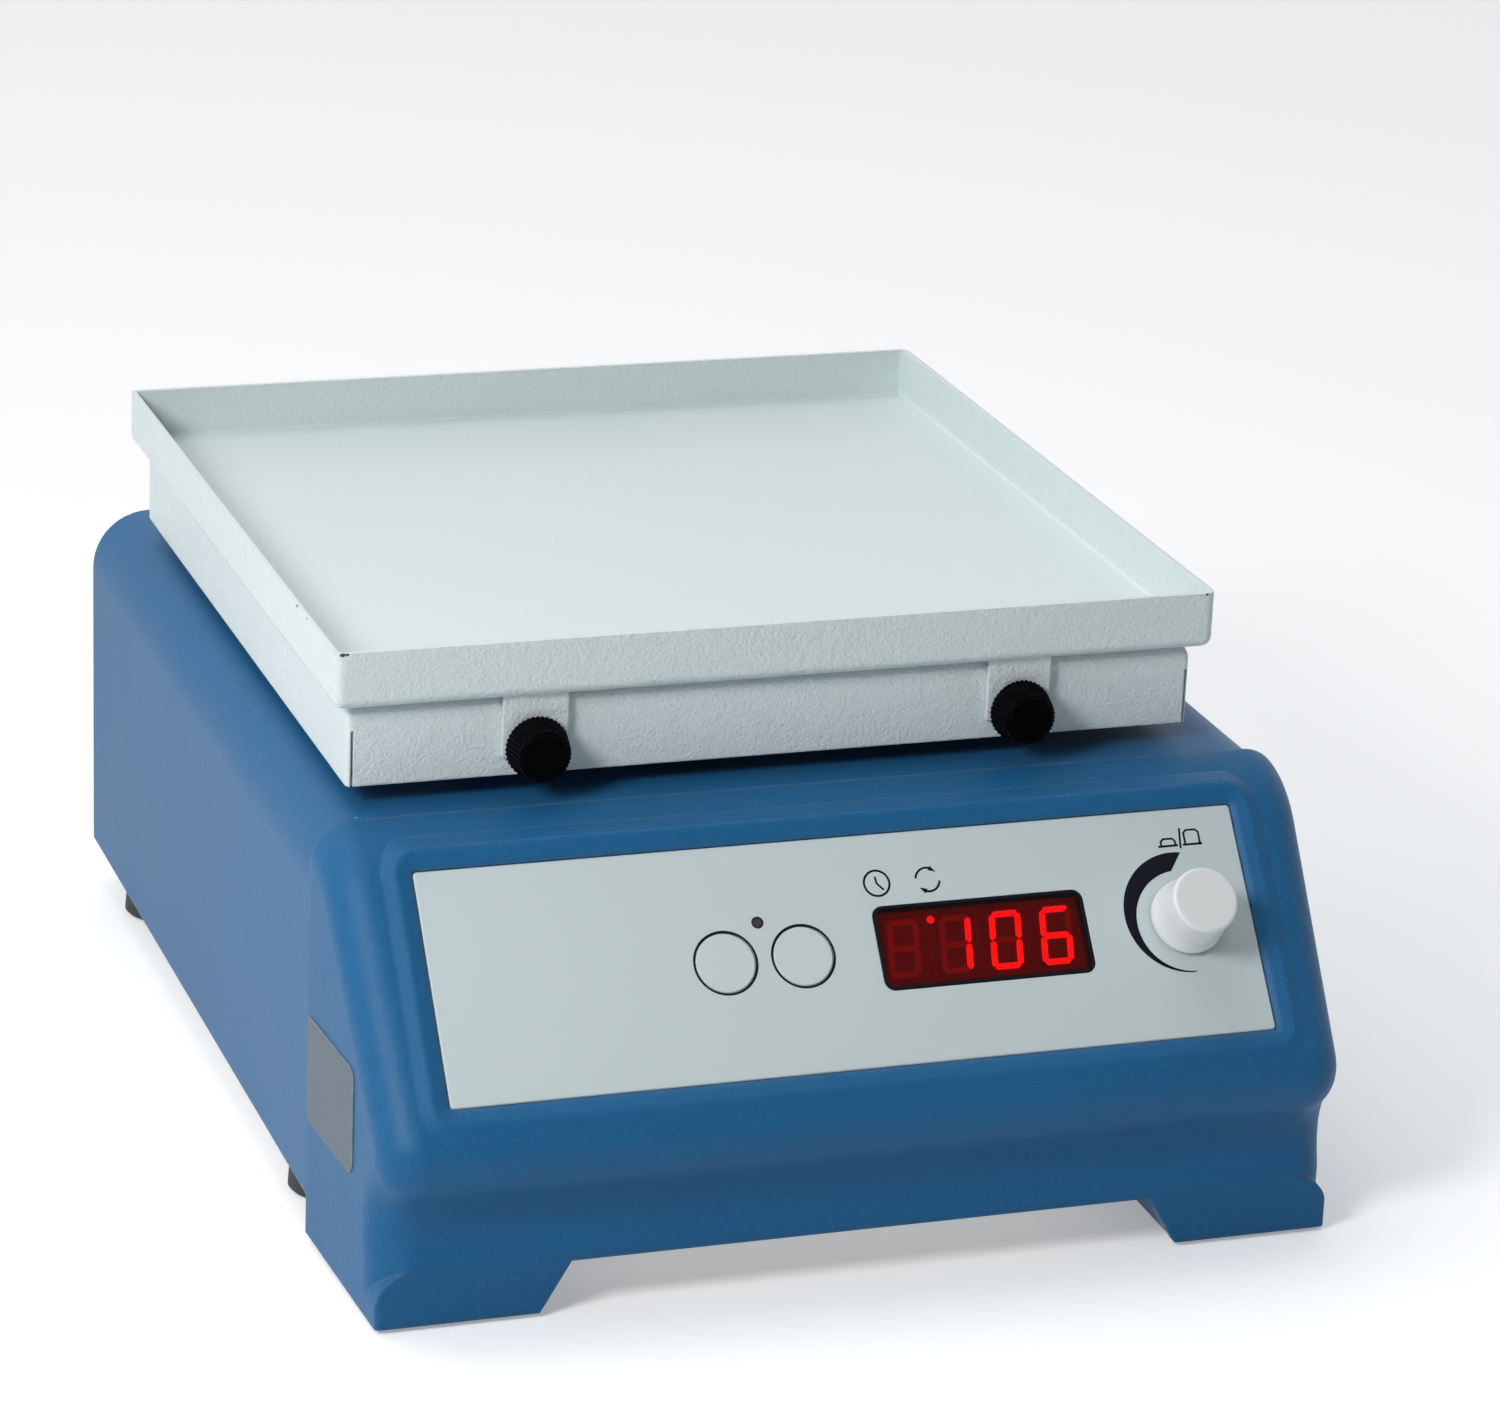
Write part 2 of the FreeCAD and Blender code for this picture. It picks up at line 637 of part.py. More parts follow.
def toe_region(side):
    """Block of each toe that keeps a tight corner, with a round shoulder; it follows the side's taper."""
    start = Y_CREASE - NOSE_DEPTH
    tip = HALF_WIDTH - NOSE_TAPER * NOSE_DEPTH
    inner = tip - TOE_SHOULDER_WIDTH
    r = TOE_SHOULDER_RADIUS
    top = TOE_SHOULDER_HEIGHT
    k = r * (1 - math.sqrt(0.5))
    low = TOE_CLEARANCE - 3
    edges = [
        Part.LineSegment(V(side * inner, start, low), V(side * tip, start, low)).toShape(),
        Part.LineSegment(V(side * tip, start, low), V(side * tip, start, top - r)).toShape(),
        Part.Arc(
            V(side * tip, start, top - r), V(side * (tip - k), start, top - k), V(
                side * (tip - r), start, top
            )
        ).toShape(),
        Part.LineSegment(V(side * (tip - r), start, top), V(side * inner, start, top)).toShape(),
        Part.LineSegment(V(side * inner, start, top), V(side * inner, start, low)).toShape(),
    ]
    reach = NOSE_DEPTH * 0.45
    return Part.Face(Part.Wire(edges)).extrude(V(side * NOSE_TAPER * reach, reach, 0))


def toe_inner_wall(side):
    """Leaning inner wall of a toe, from the front wall back to the joint with the cover."""
    lean = (TOE_WIDTH_TOP - TOE_WIDTH_BOTTOM) / (NOTCH_HEIGHT - TOE_CLEARANCE)
    reach = TOE_DEPTH - NOSE_WALL / 2
    drop = (TOE_REAR_CLEARANCE - TOE_CLEARANCE) / TOE_DEPTH
    low = TOE_CLEARANCE + drop * TOE_DEPTH
    foot = NOTCH_HALF_BOTTOM - lean * (low - TOE_CLEARANCE)
    head = NOTCH_HALF_BOTTOM - lean * (TOE_WALL_TOP - TOE_CLEARANCE)
    start = Y_CREASE - reach
    points = [
        V(side * foot, start, low),
        V(side * (foot + NOSE_WALL), start, low),
        V(side * (head + NOSE_WALL), start, TOE_WALL_TOP),
        V(side * head, start, TOE_WALL_TOP),
    ]
    return prism(points, V(0, reach, 0))


def rim_outline(side, top, corner, z):
    """Round-cornered outline round the panel, larger by side at the sides and foot and by top above."""
    half = PANEL_WIDTH / 2 + side
    return round_rect(-half, half, -PANEL_HEIGHT - side, top, corner, z)


def panel_rim():
    """Raised rim round the panel, in the slope frame: it falls to the slope all round."""
    crest = PANEL_SINK + RIM_PROUD
    spread = RIM_FOOT_SIDE - RIM_CREST_SIDE
    sections = [
        rim_outline(RIM_ROOT_SIDE, RIM_ROOT_TOP, RIM_CORNER + spread, PANEL_SINK - RIM_ROOT_DEPTH),
        rim_outline(RIM_FOOT_SIDE, RIM_FOOT_TOP, RIM_CORNER + spread, PANEL_SINK),
        rim_outline(RIM_CREST_SIDE, RIM_CREST_TOP, RIM_CORNER, crest),
    ]
    lower = Part.makeLoft(sections[:2], True, True)
    upper = Part.makeLoft(sections[1:], True, True)
    return lower.fuse(upper)


def panel_pocket():
    """Pocket for the overlay: a steep step, then a gentle wall up to the rim's crest, in the slope frame."""
    half = PANEL_WIDTH / 2 + PANEL_PLAY
    seat = round_plate(
        -half,
        half,
        -PANEL_HEIGHT - PANEL_PLAY,
        PANEL_PLAY,
        PANEL_CORNER,
        -PANEL_THICKNESS,
        RIM_STEP_HEIGHT / 2,
    )
    crest = PANEL_SINK + RIM_PROUD
    over = 1.0
    grow = RIM_INNER_OUT + (RIM_INNER_OUT - RIM_STEP_OUT) * over / (crest - RIM_STEP_HEIGHT)
    sections = [
        rim_outline(PANEL_PLAY, PANEL_PLAY, PANEL_CORNER, 0),
        rim_outline(RIM_STEP_OUT, RIM_STEP_OUT, PANEL_CORNER + RIM_STEP_OUT, RIM_STEP_HEIGHT),
        rim_outline(grow, grow + RIM_CREST_TOP - RIM_CREST_SIDE, PANEL_CORNER + grow, crest + over),
    ]
    return seat.fuse([Part.makeLoft(sections[:2], True, True), Part.makeLoft(sections[1:], True, True)])


def board_boss_places():
    x = BOARD_WIDTH / 2 - BOARD_BOSS_INSET
    middle = -PANEL_HEIGHT / 2
    y = BOARD_HEIGHT / 2 - BOARD_BOSS_INSET
    return [(sx * x, middle + sy * y) for sx in (-1, 1) for sy in (-1, 1)]


def nose_wall_cuts():
    """Holes through the sloping wall behind the overlay, in the slope frame."""
    low = PANEL_SINK - NOSE_WALL - 1
    top = 0.0
    half_w = WINDOW_WIDTH / 2 - WINDOW_LEDGE
    half_h = WINDOW_HEIGHT / 2 - WINDOW_LEDGE
    cuts = [box(WINDOW_X - half_w, WINDOW_X + half_w, -WINDOW_Y - half_h, -WINDOW_Y + half_h, low, top)]
    for x in (START_KEY_X, MODE_KEY_X):
        cuts.append(rod(x, -KEY_Y, KEY_RADIUS + 2 * KEY_PLAY, low, top))
    cuts.append(rod(LAMP_X, -LAMP_Y, LAMP_RADIUS + 0.6, low, top))
    cuts.append(rod(KNOB_X, -KNOB_Y, SPINDLE_RADIUS + 2.0, low, top))
    for x, y in board_boss_places():
        cuts.append(rod(x, y, SCREW_RADIUS + RUNNING_PLAY, -BOARD_DEPTH - 1, -PANEL_THICKNESS - 2.2))
    return cuts


def tongue():
    """Rib that locates the nose in the rear cover's mouth."""
    play = COVER_WALL + TONGUE_PLAY
    start = Y_CREASE - NOSE_WALL
    ring = Part.Face(cover_section(play, start)).extrude(V(0, NOSE_WALL + TONGUE_LENGTH, 0))
    hollow = Part.Face(cover_section(play + TONGUE_WALL, start - 1)).extrude(
        V(0, NOSE_WALL + TONGUE_LENGTH + 2, 0)
    )
    keep = box(
        -HALF_WIDTH, HALF_WIDTH, start - 1, Y_CREASE + TONGUE_LENGTH + 1, BASE_TOP + BASE_FLANGE, HOUSING_TOP
    )
    return ring.cut(hollow).common(keep)


def nose_boss_places():
    x = HALF_WIDTH - NOSE_WALL - COVER_BOSS_INSET - NOSE_TAPER * BASE_REACH / 2
    return [(side * x, Y_CREASE - BASE_REACH / 2) for side in (-1, 1)]


def front_moulding():
    inner = nose_body(NOSE_WALL, NOSE_EDGE_RADIUS - NOSE_WALL)
    outer = nose_body(0, NOSE_EDGE_RADIUS)
    tight = nose_body(0, TOE_EDGE_RADIUS)
    corners = [tight.common(toe_region(side)) for side in (-1, 1)]
    solid = outer.fuse(corners)
    solid = solid.fuse(on_slope(panel_rim()))
    shell = solid.cut(inner)
    adds = [
        on_slope(rod(x, y, BOARD_BOSS_RADIUS, -BOARD_DEPTH, PANEL_SINK - NOSE_WALL / 2))
        for x, y in board_boss_places()
    ]
    for x, y in nose_boss_places():
        wall_x = HALF_WIDTH - NOSE_TAPER * (Y_CREASE - y) - NOSE_WALL / 2
        adds += screw_boss(x, y, math.copysign(wall_x, x))
    adds += [toe_inner_wall(side) for side in (-1, 1)]
    shell = fuse_all([shell, tongue()] + adds)
    notch = prism(
        [
            V(-NOTCH_HALF_BOTTOM, Y_FRONT - 2, TOE_CLEARANCE),
            V(NOTCH_HALF_BOTTOM, Y_FRONT - 2, TOE_CLEARANCE),
            V(NOTCH_HALF_TOP, Y_FRONT - 2, NOTCH_HEIGHT),
            V(-NOTCH_HALF_TOP, Y_FRONT - 2, NOTCH_HEIGHT),
        ],
        V(0, NOSE_DEPTH / 2, 0),
    )
    cuts = [notch, on_slope(panel_pocket())]
    cuts += [on_slope(c) for c in nose_wall_cuts()]
    cuts += [boss_bore(x, y) for x, y in nose_boss_places()]
    return shell.cut(cuts).removeSplitter()


# Panel parts, built in the slope frame


def front_panel():
    half = PANEL_WIDTH / 2
    plate = round_plate(-half, half, -PANEL_HEIGHT, 0, PANEL_CORNER, -PANEL_THICKNESS, 0)
    edges = [e for e in plate.Edges if abs(e.CenterOfMass.z) < 1e-6]
    plate = plate.makeChamfer(PANEL_CHAMFER, edges)
    w = WINDOW_WIDTH / 2 + RUNNING_PLAY
    h = WINDOW_HEIGHT / 2 + RUNNING_PLAY
    cuts = [
        round_plate(
            WINDOW_X - w, WINDOW_X + w, -WINDOW_Y - h, -WINDOW_Y + h, WINDOW_CORNER, -PANEL_THICKNESS - 1, 1
        )
    ]
    for x in (START_KEY_X, MODE_KEY_X):
        cuts.append(rod(x, -KEY_Y, KEY_RADIUS + KEY_PLAY, -PANEL_THICKNESS - 1, 1))
    cuts.append(rod(LAMP_X, -LAMP_Y, LAMP_RADIUS + RUNNING_PLAY, -PANEL_THICKNESS - 1, 1))
    cuts.append(rod(KNOB_X, -KNOB_Y, SPINDLE_RADIUS + 2.0, -PANEL_THICKNESS - 1, 1))
    return on_slope(plate.cut(cuts))


def display_lens():
    w = WINDOW_WIDTH / 2
    h = WINDOW_HEIGHT / 2
    lens = round_plate(
        WINDOW_X - w, WINDOW_X + w, -WINDOW_Y - h, -WINDOW_Y + h, WINDOW_CORNER, -PANEL_THICKNESS, 0
    )
    return on_slope(lens)


def display_module():
    w = WINDOW_WIDTH / 2 - WINDOW_LEDGE - PANEL_PLAY
    h = WINDOW_HEIGHT / 2 - WINDOW_LEDGE - PANEL_PLAY
    face = -PANEL_THICKNESS - 0.6
    block = box(WINDOW_X - w, WINDOW_X + w, -WINDOW_Y - h, -WINDOW_Y + h, -BOARD_DEPTH, face)
    pitch = 2 * w / 4
    cuts = []
    for i in range(4):
        x = WINDOW_X - w + pitch * (i + 0.5)
        cuts.append(box(
            x - pitch * 0.41, x + pitch * 0.41, -WINDOW_Y - h + 1.5, -WINDOW_Y + h - 1.5, face - 0.4, face + 1
        ))
    return on_slope(block.cut(cuts))


def indicator_lamp():
    base = rod(LAMP_X, -LAMP_Y, LAMP_RADIUS + 0.4, -BOARD_DEPTH, -PANEL_THICKNESS)
    tip = rod(LAMP_X, -LAMP_Y, LAMP_RADIUS, -PANEL_THICKNESS, -0.1)
    return on_slope(base.fuse(tip))


def membrane_key(x):
    cap = rod(x, -KEY_Y, KEY_RADIUS, -PANEL_THICKNESS, 0)
    rim = [e for e in cap.Edges if abs(e.CenterOfMass.z) < 1e-6]
    cap = cap.makeChamfer(PANEL_CHAMFER, rim[:1])
    stem = rod(x, -KEY_Y, KEY_STEM_RADIUS, -BOARD_DEPTH / 2, -PANEL_THICKNESS)
    return on_slope(cap.fuse(stem))


def key_switches():
    switches = []
    for x in (START_KEY_X, MODE_KEY_X):
        body = box(x - 3, x + 3, -KEY_Y - 3, -KEY_Y + 3, -BOARD_DEPTH, -BOARD_DEPTH + 3.5)
        button = rod(x, -KEY_Y, 1.7, -BOARD_DEPTH + 3.5, -BOARD_DEPTH / 2 - KEY_TRAVEL - 0.1)
        switches.append(on_slope(body.fuse(button)))
    return switches


def control_board():
    w = BOARD_WIDTH / 2
    middle = -PANEL_HEIGHT / 2
    h = BOARD_HEIGHT / 2
    board = box(-w, w, middle - h, middle + h, -BOARD_DEPTH - BOARD_THICKNESS, -BOARD_DEPTH)
    cuts = [rod(x, y, SCREW_RADIUS + SCREW_PLAY, -BOARD_DEPTH - 3, 0) for x, y in board_boss_places()]
    cuts.append(rod(KNOB_X, -KNOB_Y, SPINDLE_RADIUS + 2.8, -BOARD_DEPTH - 3, 0))
    chips = []
    low = -BOARD_DEPTH - BOARD_THICKNESS
    for place, share in CHIP_SHARES:
        x = BOARD_WIDTH * place
        size = BOARD_WIDTH * share / 2
        chips.append(box(x - size, x + size, middle - size / 2, middle + size / 2, low - CHIP_HEIGHT, low))
    return on_slope(board.cut(cuts).fuse(chips))


def board_screws():
    low = -BOARD_DEPTH - BOARD_THICKNESS
    return [
        on_slope(screw(x, y, low, 6.0, SCREW_RADIUS, SCREW_HEAD_RADIUS, SCREW_HEAD_HEIGHT, True))
        for x, y in board_boss_places()
    ]


def control_switch():
    """Speed control with a latching push switch behind the board."""
    body = rod(KNOB_X, -KNOB_Y, SWITCH_SIZE / 2, -BOARD_DEPTH, PANEL_SINK - NOSE_WALL - 0.3)
    bush = rod(KNOB_X, -KNOB_Y, SPINDLE_RADIUS + 1.8, -BOARD_DEPTH - BOARD_THICKNESS - 1, -0.2)
    low = -BOARD_DEPTH - BOARD_THICKNESS - SWITCH_DEPTH
    half = SWITCH_SIZE / 2
    rear = box(
        KNOB_X - half, KNOB_X + half, -KNOB_Y - half, -KNOB_Y + half, low, -BOARD_DEPTH - BOARD_THICKNESS
    )
    whole = fuse_all([body, bush, rear])
    bore = rod(KNOB_X, -KNOB_Y, SPINDLE_RADIUS + SLIDING_PLAY, low + 1.5, 1)
    room = rod(KNOB_X, -KNOB_Y, slider_radius() + SLIDING_PLAY, low + 1.5, slider_bottom() + slider_room())
    return on_slope(whole.cut([bore, room]))


def slider_radius():
    return SWITCH_SIZE / 2 - 2.2


def slider_bottom():
    return -BOARD_DEPTH - BOARD_THICKNESS - SWITCH_DEPTH + 1.5 + SLIDING_PLAY


def slider_room():
    return SWITCH_SLIDER_LENGTH + KNOB_TRAVEL + SLIDING_PLAY


def switch_slider():
    low = slider_bottom()
    ring = rod(KNOB_X, -KNOB_Y, slider_radius(), low, low + SWITCH_SLIDER_LENGTH)
    return on_slope(ring.cut(rod(KNOB_X, -KNOB_Y, SPINDLE_RADIUS + RUNNING_PLAY, low - 1, low + 20)))


def knob_spindle():
    top = KNOB_HEIGHT - 4.0
    spindle = rod(KNOB_X, -KNOB_Y, SPINDLE_RADIUS, slider_bottom(), top)
    flat = box(
        KNOB_X - 4, KNOB_X + 4, -KNOB_Y + SPINDLE_RADIUS - 0.8, -KNOB_Y + SPINDLE_RADIUS + 1, 3.0, top + 1
    )
    return on_slope(spindle.cut(flat))


def control_knob():
    """White push knob: flared skirt, straight cap and a socket for the spindle."""
    r0 = KNOB_BASE_RADIUS
    r1 = KNOB_CAP_RADIUS
    flare = 4.2
    low = KNOB_GAP
    points = [V(0, 0, low), V(r0, 0, low), V(r0, 0, low + 1.2)]
    waist = V(r1 + 0.1, 0, low + 1.2 + flare)
    bend = V(r1 + (r0 - r1) * 0.38, 0, low + 1.2 + flare * 0.42)
    shoulder = 0.9
    cap_side = V(r1 - 0.05, 0, KNOB_HEIGHT - shoulder)
    k = shoulder * (1 - math.sqrt(0.5))
    cap_round = V(r1 - 0.05 - k, 0, KNOB_HEIGHT - k)
    cap_top = V(r1 - 0.05 - shoulder, 0, KNOB_HEIGHT)
    edges = [
        Part.LineSegment(points[0], points[1]).toShape(),
        Part.LineSegment(points[1], points[2]).toShape(),
        Part.Arc(points[2], bend, waist).toShape(),
        Part.LineSegment(waist, cap_side).toShape(),
        Part.Arc(cap_side, cap_round, cap_top).toShape(),
        Part.LineSegment(cap_top, V(0, 0, KNOB_HEIGHT)).toShape(),
        Part.LineSegment(V(0, 0, KNOB_HEIGHT), points[0]).toShape(),
    ]
    knob = Part.Face(Part.Wire(edges)).revolve(V(0, 0, 0), UP, 360)
    hollow = rod(0, 0, r1 - 1.8, low - 1, low + 4.0).cut(rod(0, 0, SPINDLE_RADIUS + 1.6, low - 2, low + 5))
    socket = rod(0, 0, SPINDLE_RADIUS, low - 1, KNOB_HEIGHT - 4.0)
    flat = box(-4, 4, SPINDLE_RADIUS - 0.8, SPINDLE_RADIUS + 1, 3.0, KNOB_HEIGHT)
    knob = knob.cut([hollow, socket.cut(flat)])
    knob.translate(V(KNOB_X, -KNOB_Y, 0))
    return on_slope(knob)


# Base


def foot_places():
    ends = (Y_CREASE + FOOT_FRONT_INSET, Y_REAR - FOOT_REAR_INSET)
    return [(side * FOOT_X, y) for side in (-1, 1) for y in ends]


def pillar_places():
    x = CHASSIS_HALF_WIDTH - PILLAR_INSET_X
    ends = (CRANK_Y - CHASSIS_FRONT + PILLAR_INSET_Y, CHASSIS_REAR_EDGE - PILLAR_INSET_Y)
    return [(side * x, y) for side in (-1, 1) for y in ends]


def power_spacer_places():
    x = POWER_WIDTH / 2 - POWER_INSET
    y = POWER_LENGTH / 2 - POWER_INSET
    return [(POWER_X + sx * x, POWER_Y + sy * y) for sx in (-1, 1) for sy in (-1, 1)]


def motor_bolt_places():
    d = MOTOR_FLANGE / 2 - MOTOR_BOLT_INSET
    return [(sx * d, MOTOR_Y + sy * d) for sx in (-1, 1) for sy in (-1, 1)]


def vent_slots():
    """Two rows of slots under the power board and beside the drive."""
    slots = []
    for side in (-1, 1):
        for i in range(VENT_COUNT):
            y = POWER_Y + VENT_PITCH * (i - (VENT_COUNT - 1) / 2)
            x0 = side * POWER_X - VENT_LENGTH / 2
            y0 = y - VENT_WIDTH / 2
            slots.append(
                round_plate(
                    x0,
                    x0 + VENT_LENGTH,
                    y0,
                    y0 + VENT_WIDTH,
                    VENT_WIDTH * 0.49,
                    BASE_BOTTOM - 1,
                    BASE_TOP + 1,
                )
            )
    return slots


def base_plate():
    rear_half = HALF_WIDTH - NOSE_WALL - BASE_PLAY
    front_half = rear_half - NOSE_TAPER * BASE_REACH
    rear_y = Y_REAR - COVER_WALL - BASE_PLAY
    front_y = Y_CREASE - BASE_REACH
    outline = [
        V(-rear_half, rear_y, BASE_BOTTOM),
        V(rear_half, rear_y, BASE_BOTTOM),
        V(rear_half, Y_CREASE, BASE_BOTTOM),
        V(front_half + NOSE_TAPER * BASE_CORNER, front_y + BASE_CORNER, BASE_BOTTOM),
        V(front_half - BASE_CORNER, front_y, BASE_BOTTOM),
        V(BASE_CORNER - front_half, front_y, BASE_BOTTOM),
        V(-front_half - NOSE_TAPER * BASE_CORNER, front_y + BASE_CORNER, BASE_BOTTOM),
        V(-rear_half, Y_CREASE, BASE_BOTTOM),
    ]
    plate = prism(outline, V(0, 0, BASE_THICKNESS))
    flange_front = Y_CREASE + 2 * COVER_BOSS_END
    flange_rear = rear_y - 2 * COVER_BOSS_END
    flanges = []
    for side in (-1, 1):
        x0 = side * rear_half
        x1 = side * (rear_half - BASE_THICKNESS)
        flanges.append(
            box(min(x0, x1), max(x0, x1), flange_front, flange_rear, BASE_BOTTOM, BASE_TOP + BASE_FLANGE)
        )
    plate = fuse_all([plate] + flanges)
    holes = []
    small = cover_boss_places() + nose_boss_places() + power_spacer_places()
    for x, y in small:
        holes.append(rod(x, y, SCREW_RADIUS + SCREW_PLAY, BASE_BOTTOM - 1, BASE_TOP + 1))
    for x, y in foot_places() + pillar_places() + motor_bolt_places():
        holes.append(rod(x, y, BOLT_RADIUS + SCREW_PLAY, BASE_BOTTOM - 1, BASE_TOP + 1))
    return plate.cut(holes + vent_slots())


def rubber_feet():
    r = FOOT_RADIUS
    h = FOOT_HEIGHT
    d = FOOT_RECESS_DEPTH
    bore = BOLT_RADIUS + SCREW_PLAY
    section = [
        (bore, d),
        (FOOT_RECESS_RADIUS, d),
        (FOOT_RECESS_RADIUS, 0),
        (r - 1, 0),
        (r, 1),
        (r - 0.8, h),
        (bore, h),
    ]
    return [turned(section, x, y) for x, y in foot_places()]


def foot_bolts():
    length = FOOT_HEIGHT - FOOT_RECESS_DEPTH + BASE_THICKNESS + 4
    return [
        screw(x, y, FOOT_RECESS_DEPTH, length, BOLT_RADIUS, BOLT_HEAD_RADIUS, BOLT_HEAD_HEIGHT, True)
        for x, y in foot_places()
    ]


def cover_screws():
    return [
        screw(x, y, BASE_BOTTOM, SCREW_LENGTH, SCREW_RADIUS, SCREW_HEAD_RADIUS, SCREW_HEAD_HEIGHT, True)
        for x, y in cover_boss_places() + nose_boss_places()
    ]


# Chassis and bearings


def crank_flange_bolts():
    r = (CRANK_FLANGE_RADIUS + CRANK_BEARING_RADIUS + CRANK_HOUSING_WALL) / 2
    return [
        (r * math.cos(math.radians(45 + 90 * i)), CRANK_Y + r * math.sin(math.radians(45 + 90 * i)))
        for i in range(4)
    ]


def idler_flange_bolts():
    r = (IDLER_FLANGE_RADIUS + IDLER_BEARING_RADIUS + IDLER_HOUSING_WALL) / 2
    places = []
    for x, y in IDLER_PLACES:
        for i in range(3):
            a = math.radians(30 + 120 * i)
            places.append((x + r * math.cos(a), y + r * math.sin(a)))
    return places


def chassis_plate():
    front = CRANK_Y - CHASSIS_FRONT
    plate = round_plate(
        -CHASSIS_HALF_WIDTH,
        CHASSIS_HALF_WIDTH,
        front,
        CHASSIS_REAR_EDGE,
        CHASSIS_CORNER,
        CHASSIS_BOTTOM,
        CHASSIS_TOP,
    )
    low = CHASSIS_BOTTOM - 1
    high = CHASSIS_TOP + 1
    cuts = [rod(0, CRANK_Y, CRANK_BEARING_RADIUS + CRANK_HOUSING_WALL + SCREW_PLAY, low, high)]
    for x, y in IDLER_PLACES:
        cuts.append(rod(x, y, IDLER_BEARING_RADIUS + IDLER_HOUSING_WALL + SCREW_PLAY, low, high))
    for x, y in pillar_places():
        cuts.append(rod(x, y, BOLT_RADIUS + SCREW_PLAY, low, high))
    for x, y in crank_flange_bolts():
        cuts.append(rod(x, y, BOLT_RADIUS + RUNNING_PLAY, low, high))
    for x, y in idler_flange_bolts():
        cuts.append(rod(x, y, SCREW_RADIUS + RUNNING_PLAY, low, high))
    for side in (-1, 1):
        x = side * CHASSIS_HALF_WIDTH * 0.68 - CHASSIS_OPENING_WIDTH / 2
        y = CRANK_Y + CHASSIS_OPENING_START
        cuts.append(
            round_plate(
                x, x + CHASSIS_OPENING_WIDTH, y, y + CHASSIS_OPENING_LENGTH, CHASSIS_OPENING_RADIUS, low, high
            )
        )
    return plate.cut(cuts)


def chassis_pillars():
    return [
        hex_prism(x, y, PILLAR_RADIUS, BASE_TOP, CHASSIS_BOTTOM).cut(
            [
                rod(x, y, BOLT_RADIUS + RUNNING_PLAY, BASE_TOP - 1, BASE_TOP + 12),
                rod(x, y, BOLT_RADIUS + RUNNING_PLAY, CHASSIS_BOTTOM - 12, CHASSIS_BOTTOM + 1),
            ]
        )
        for x, y in pillar_places()
    ]


def chassis_bolts():
    bolts = []
    for x, y in pillar_places():
        bolts.append(screw(x, y, BASE_BOTTOM, 10.0, BOLT_RADIUS, BOLT_HEAD_RADIUS, BOLT_HEAD_HEIGHT, True))
        bolts.append(screw(x, y, CHASSIS_TOP, 10.0, BOLT_RADIUS, BOLT_HEAD_RADIUS, BOLT_HEAD_HEIGHT, False))
    for x, y in crank_flange_bolts():
        seat = CHASSIS_TOP + CRANK_FLANGE_THICKNESS
        bolts.append(screw(x, y, seat, 9.0, BOLT_RADIUS, BOLT_HEAD_RADIUS, BOLT_HEAD_HEIGHT, False))
    for x, y in idler_flange_bolts():
        seat = CHASSIS_TOP + IDLER_FLANGE_THICKNESS
        bolts.append(screw(x, y, seat, 8.0, SCREW_RADIUS, SCREW_HEAD_RADIUS, SCREW_HEAD_HEIGHT, False))
    return bolts


def bearing_housing(x, y, bearing, width, wall, flange, flange_thickness, length):
    """Flanged housing with a bearing seat at each end; its flange lies on the chassis plate."""
    top = CHASSIS_TOP + flange_thickness
    low = top - length
    step = bearing - 2.5
    barrel = bearing + wall
    section = [
        (bearing, low),
        (barrel, low),
        (barrel, CHASSIS_TOP),
        (flange, CHASSIS_TOP),
        (flange, top - 0.8),
        (flange - 0.8, top),
        (bearing, top),
        (bearing, top - width),
        (step, top - width),
        (step, low + width),
        (bearing, low + width),
    ]
    return turned(section, x, y)


def crank_housing():
    body = bearing_housing(
        0,
        CRANK_Y,
        CRANK_BEARING_RADIUS,
        CRANK_BEARING_WIDTH,
        CRANK_HOUSING_WALL,
        CRANK_FLANGE_RADIUS,
        CRANK_FLANGE_THICKNESS,
        CRANK_HOUSING_LENGTH,
    )
    holes = [
        rod(x, y, BOLT_RADIUS + SCREW_PLAY, CHASSIS_TOP - 1, CHASSIS_TOP + 9) for x, y in crank_flange_bolts()
    ]
    return body.cut(holes)


def idler_housings():
    holes = [
        rod(x, y, SCREW_RADIUS + SCREW_PLAY, CHASSIS_TOP - 1, CHASSIS_TOP + 9)
        for x, y in idler_flange_bolts()
    ]
    housings = []
    for x, y in IDLER_PLACES:
        body = bearing_housing(
            x,
            y,
            IDLER_BEARING_RADIUS,
            IDLER_BEARING_WIDTH,
            IDLER_HOUSING_WALL,
            IDLER_FLANGE_RADIUS,
            IDLER_FLANGE_THICKNESS,
            IDLER_HOUSING_LENGTH,
        )
        housings.append(body.cut(holes))
    return housings


def ball_bearing(x, y, outer, bore, low, width):
    """Shielded ball bearing as one ring with sunk shields."""
    top = low + width
    d = BEARING_SHIELD
    a = bore + BEARING_RING
    b = outer - BEARING_RING
    section = [
        (bore, low), (a, low), (a, low + d), (b, low + d), (b, low), (outer, low),
        (outer, top), (b, top), (b, top - d), (a, top - d), (a, top), (bore, top),
    ]
    return turned(section, x, y)


def crank_bearings():
    top = CHASSIS_TOP + CRANK_FLANGE_THICKNESS
    lows = (top - CRANK_HOUSING_LENGTH, top - CRANK_BEARING_WIDTH)
    bore = CRANK_SHAFT_RADIUS + RUNNING_PLAY
    return [ball_bearing(0, CRANK_Y, CRANK_BEARING_RADIUS, bore, z, CRANK_BEARING_WIDTH) for z in lows]


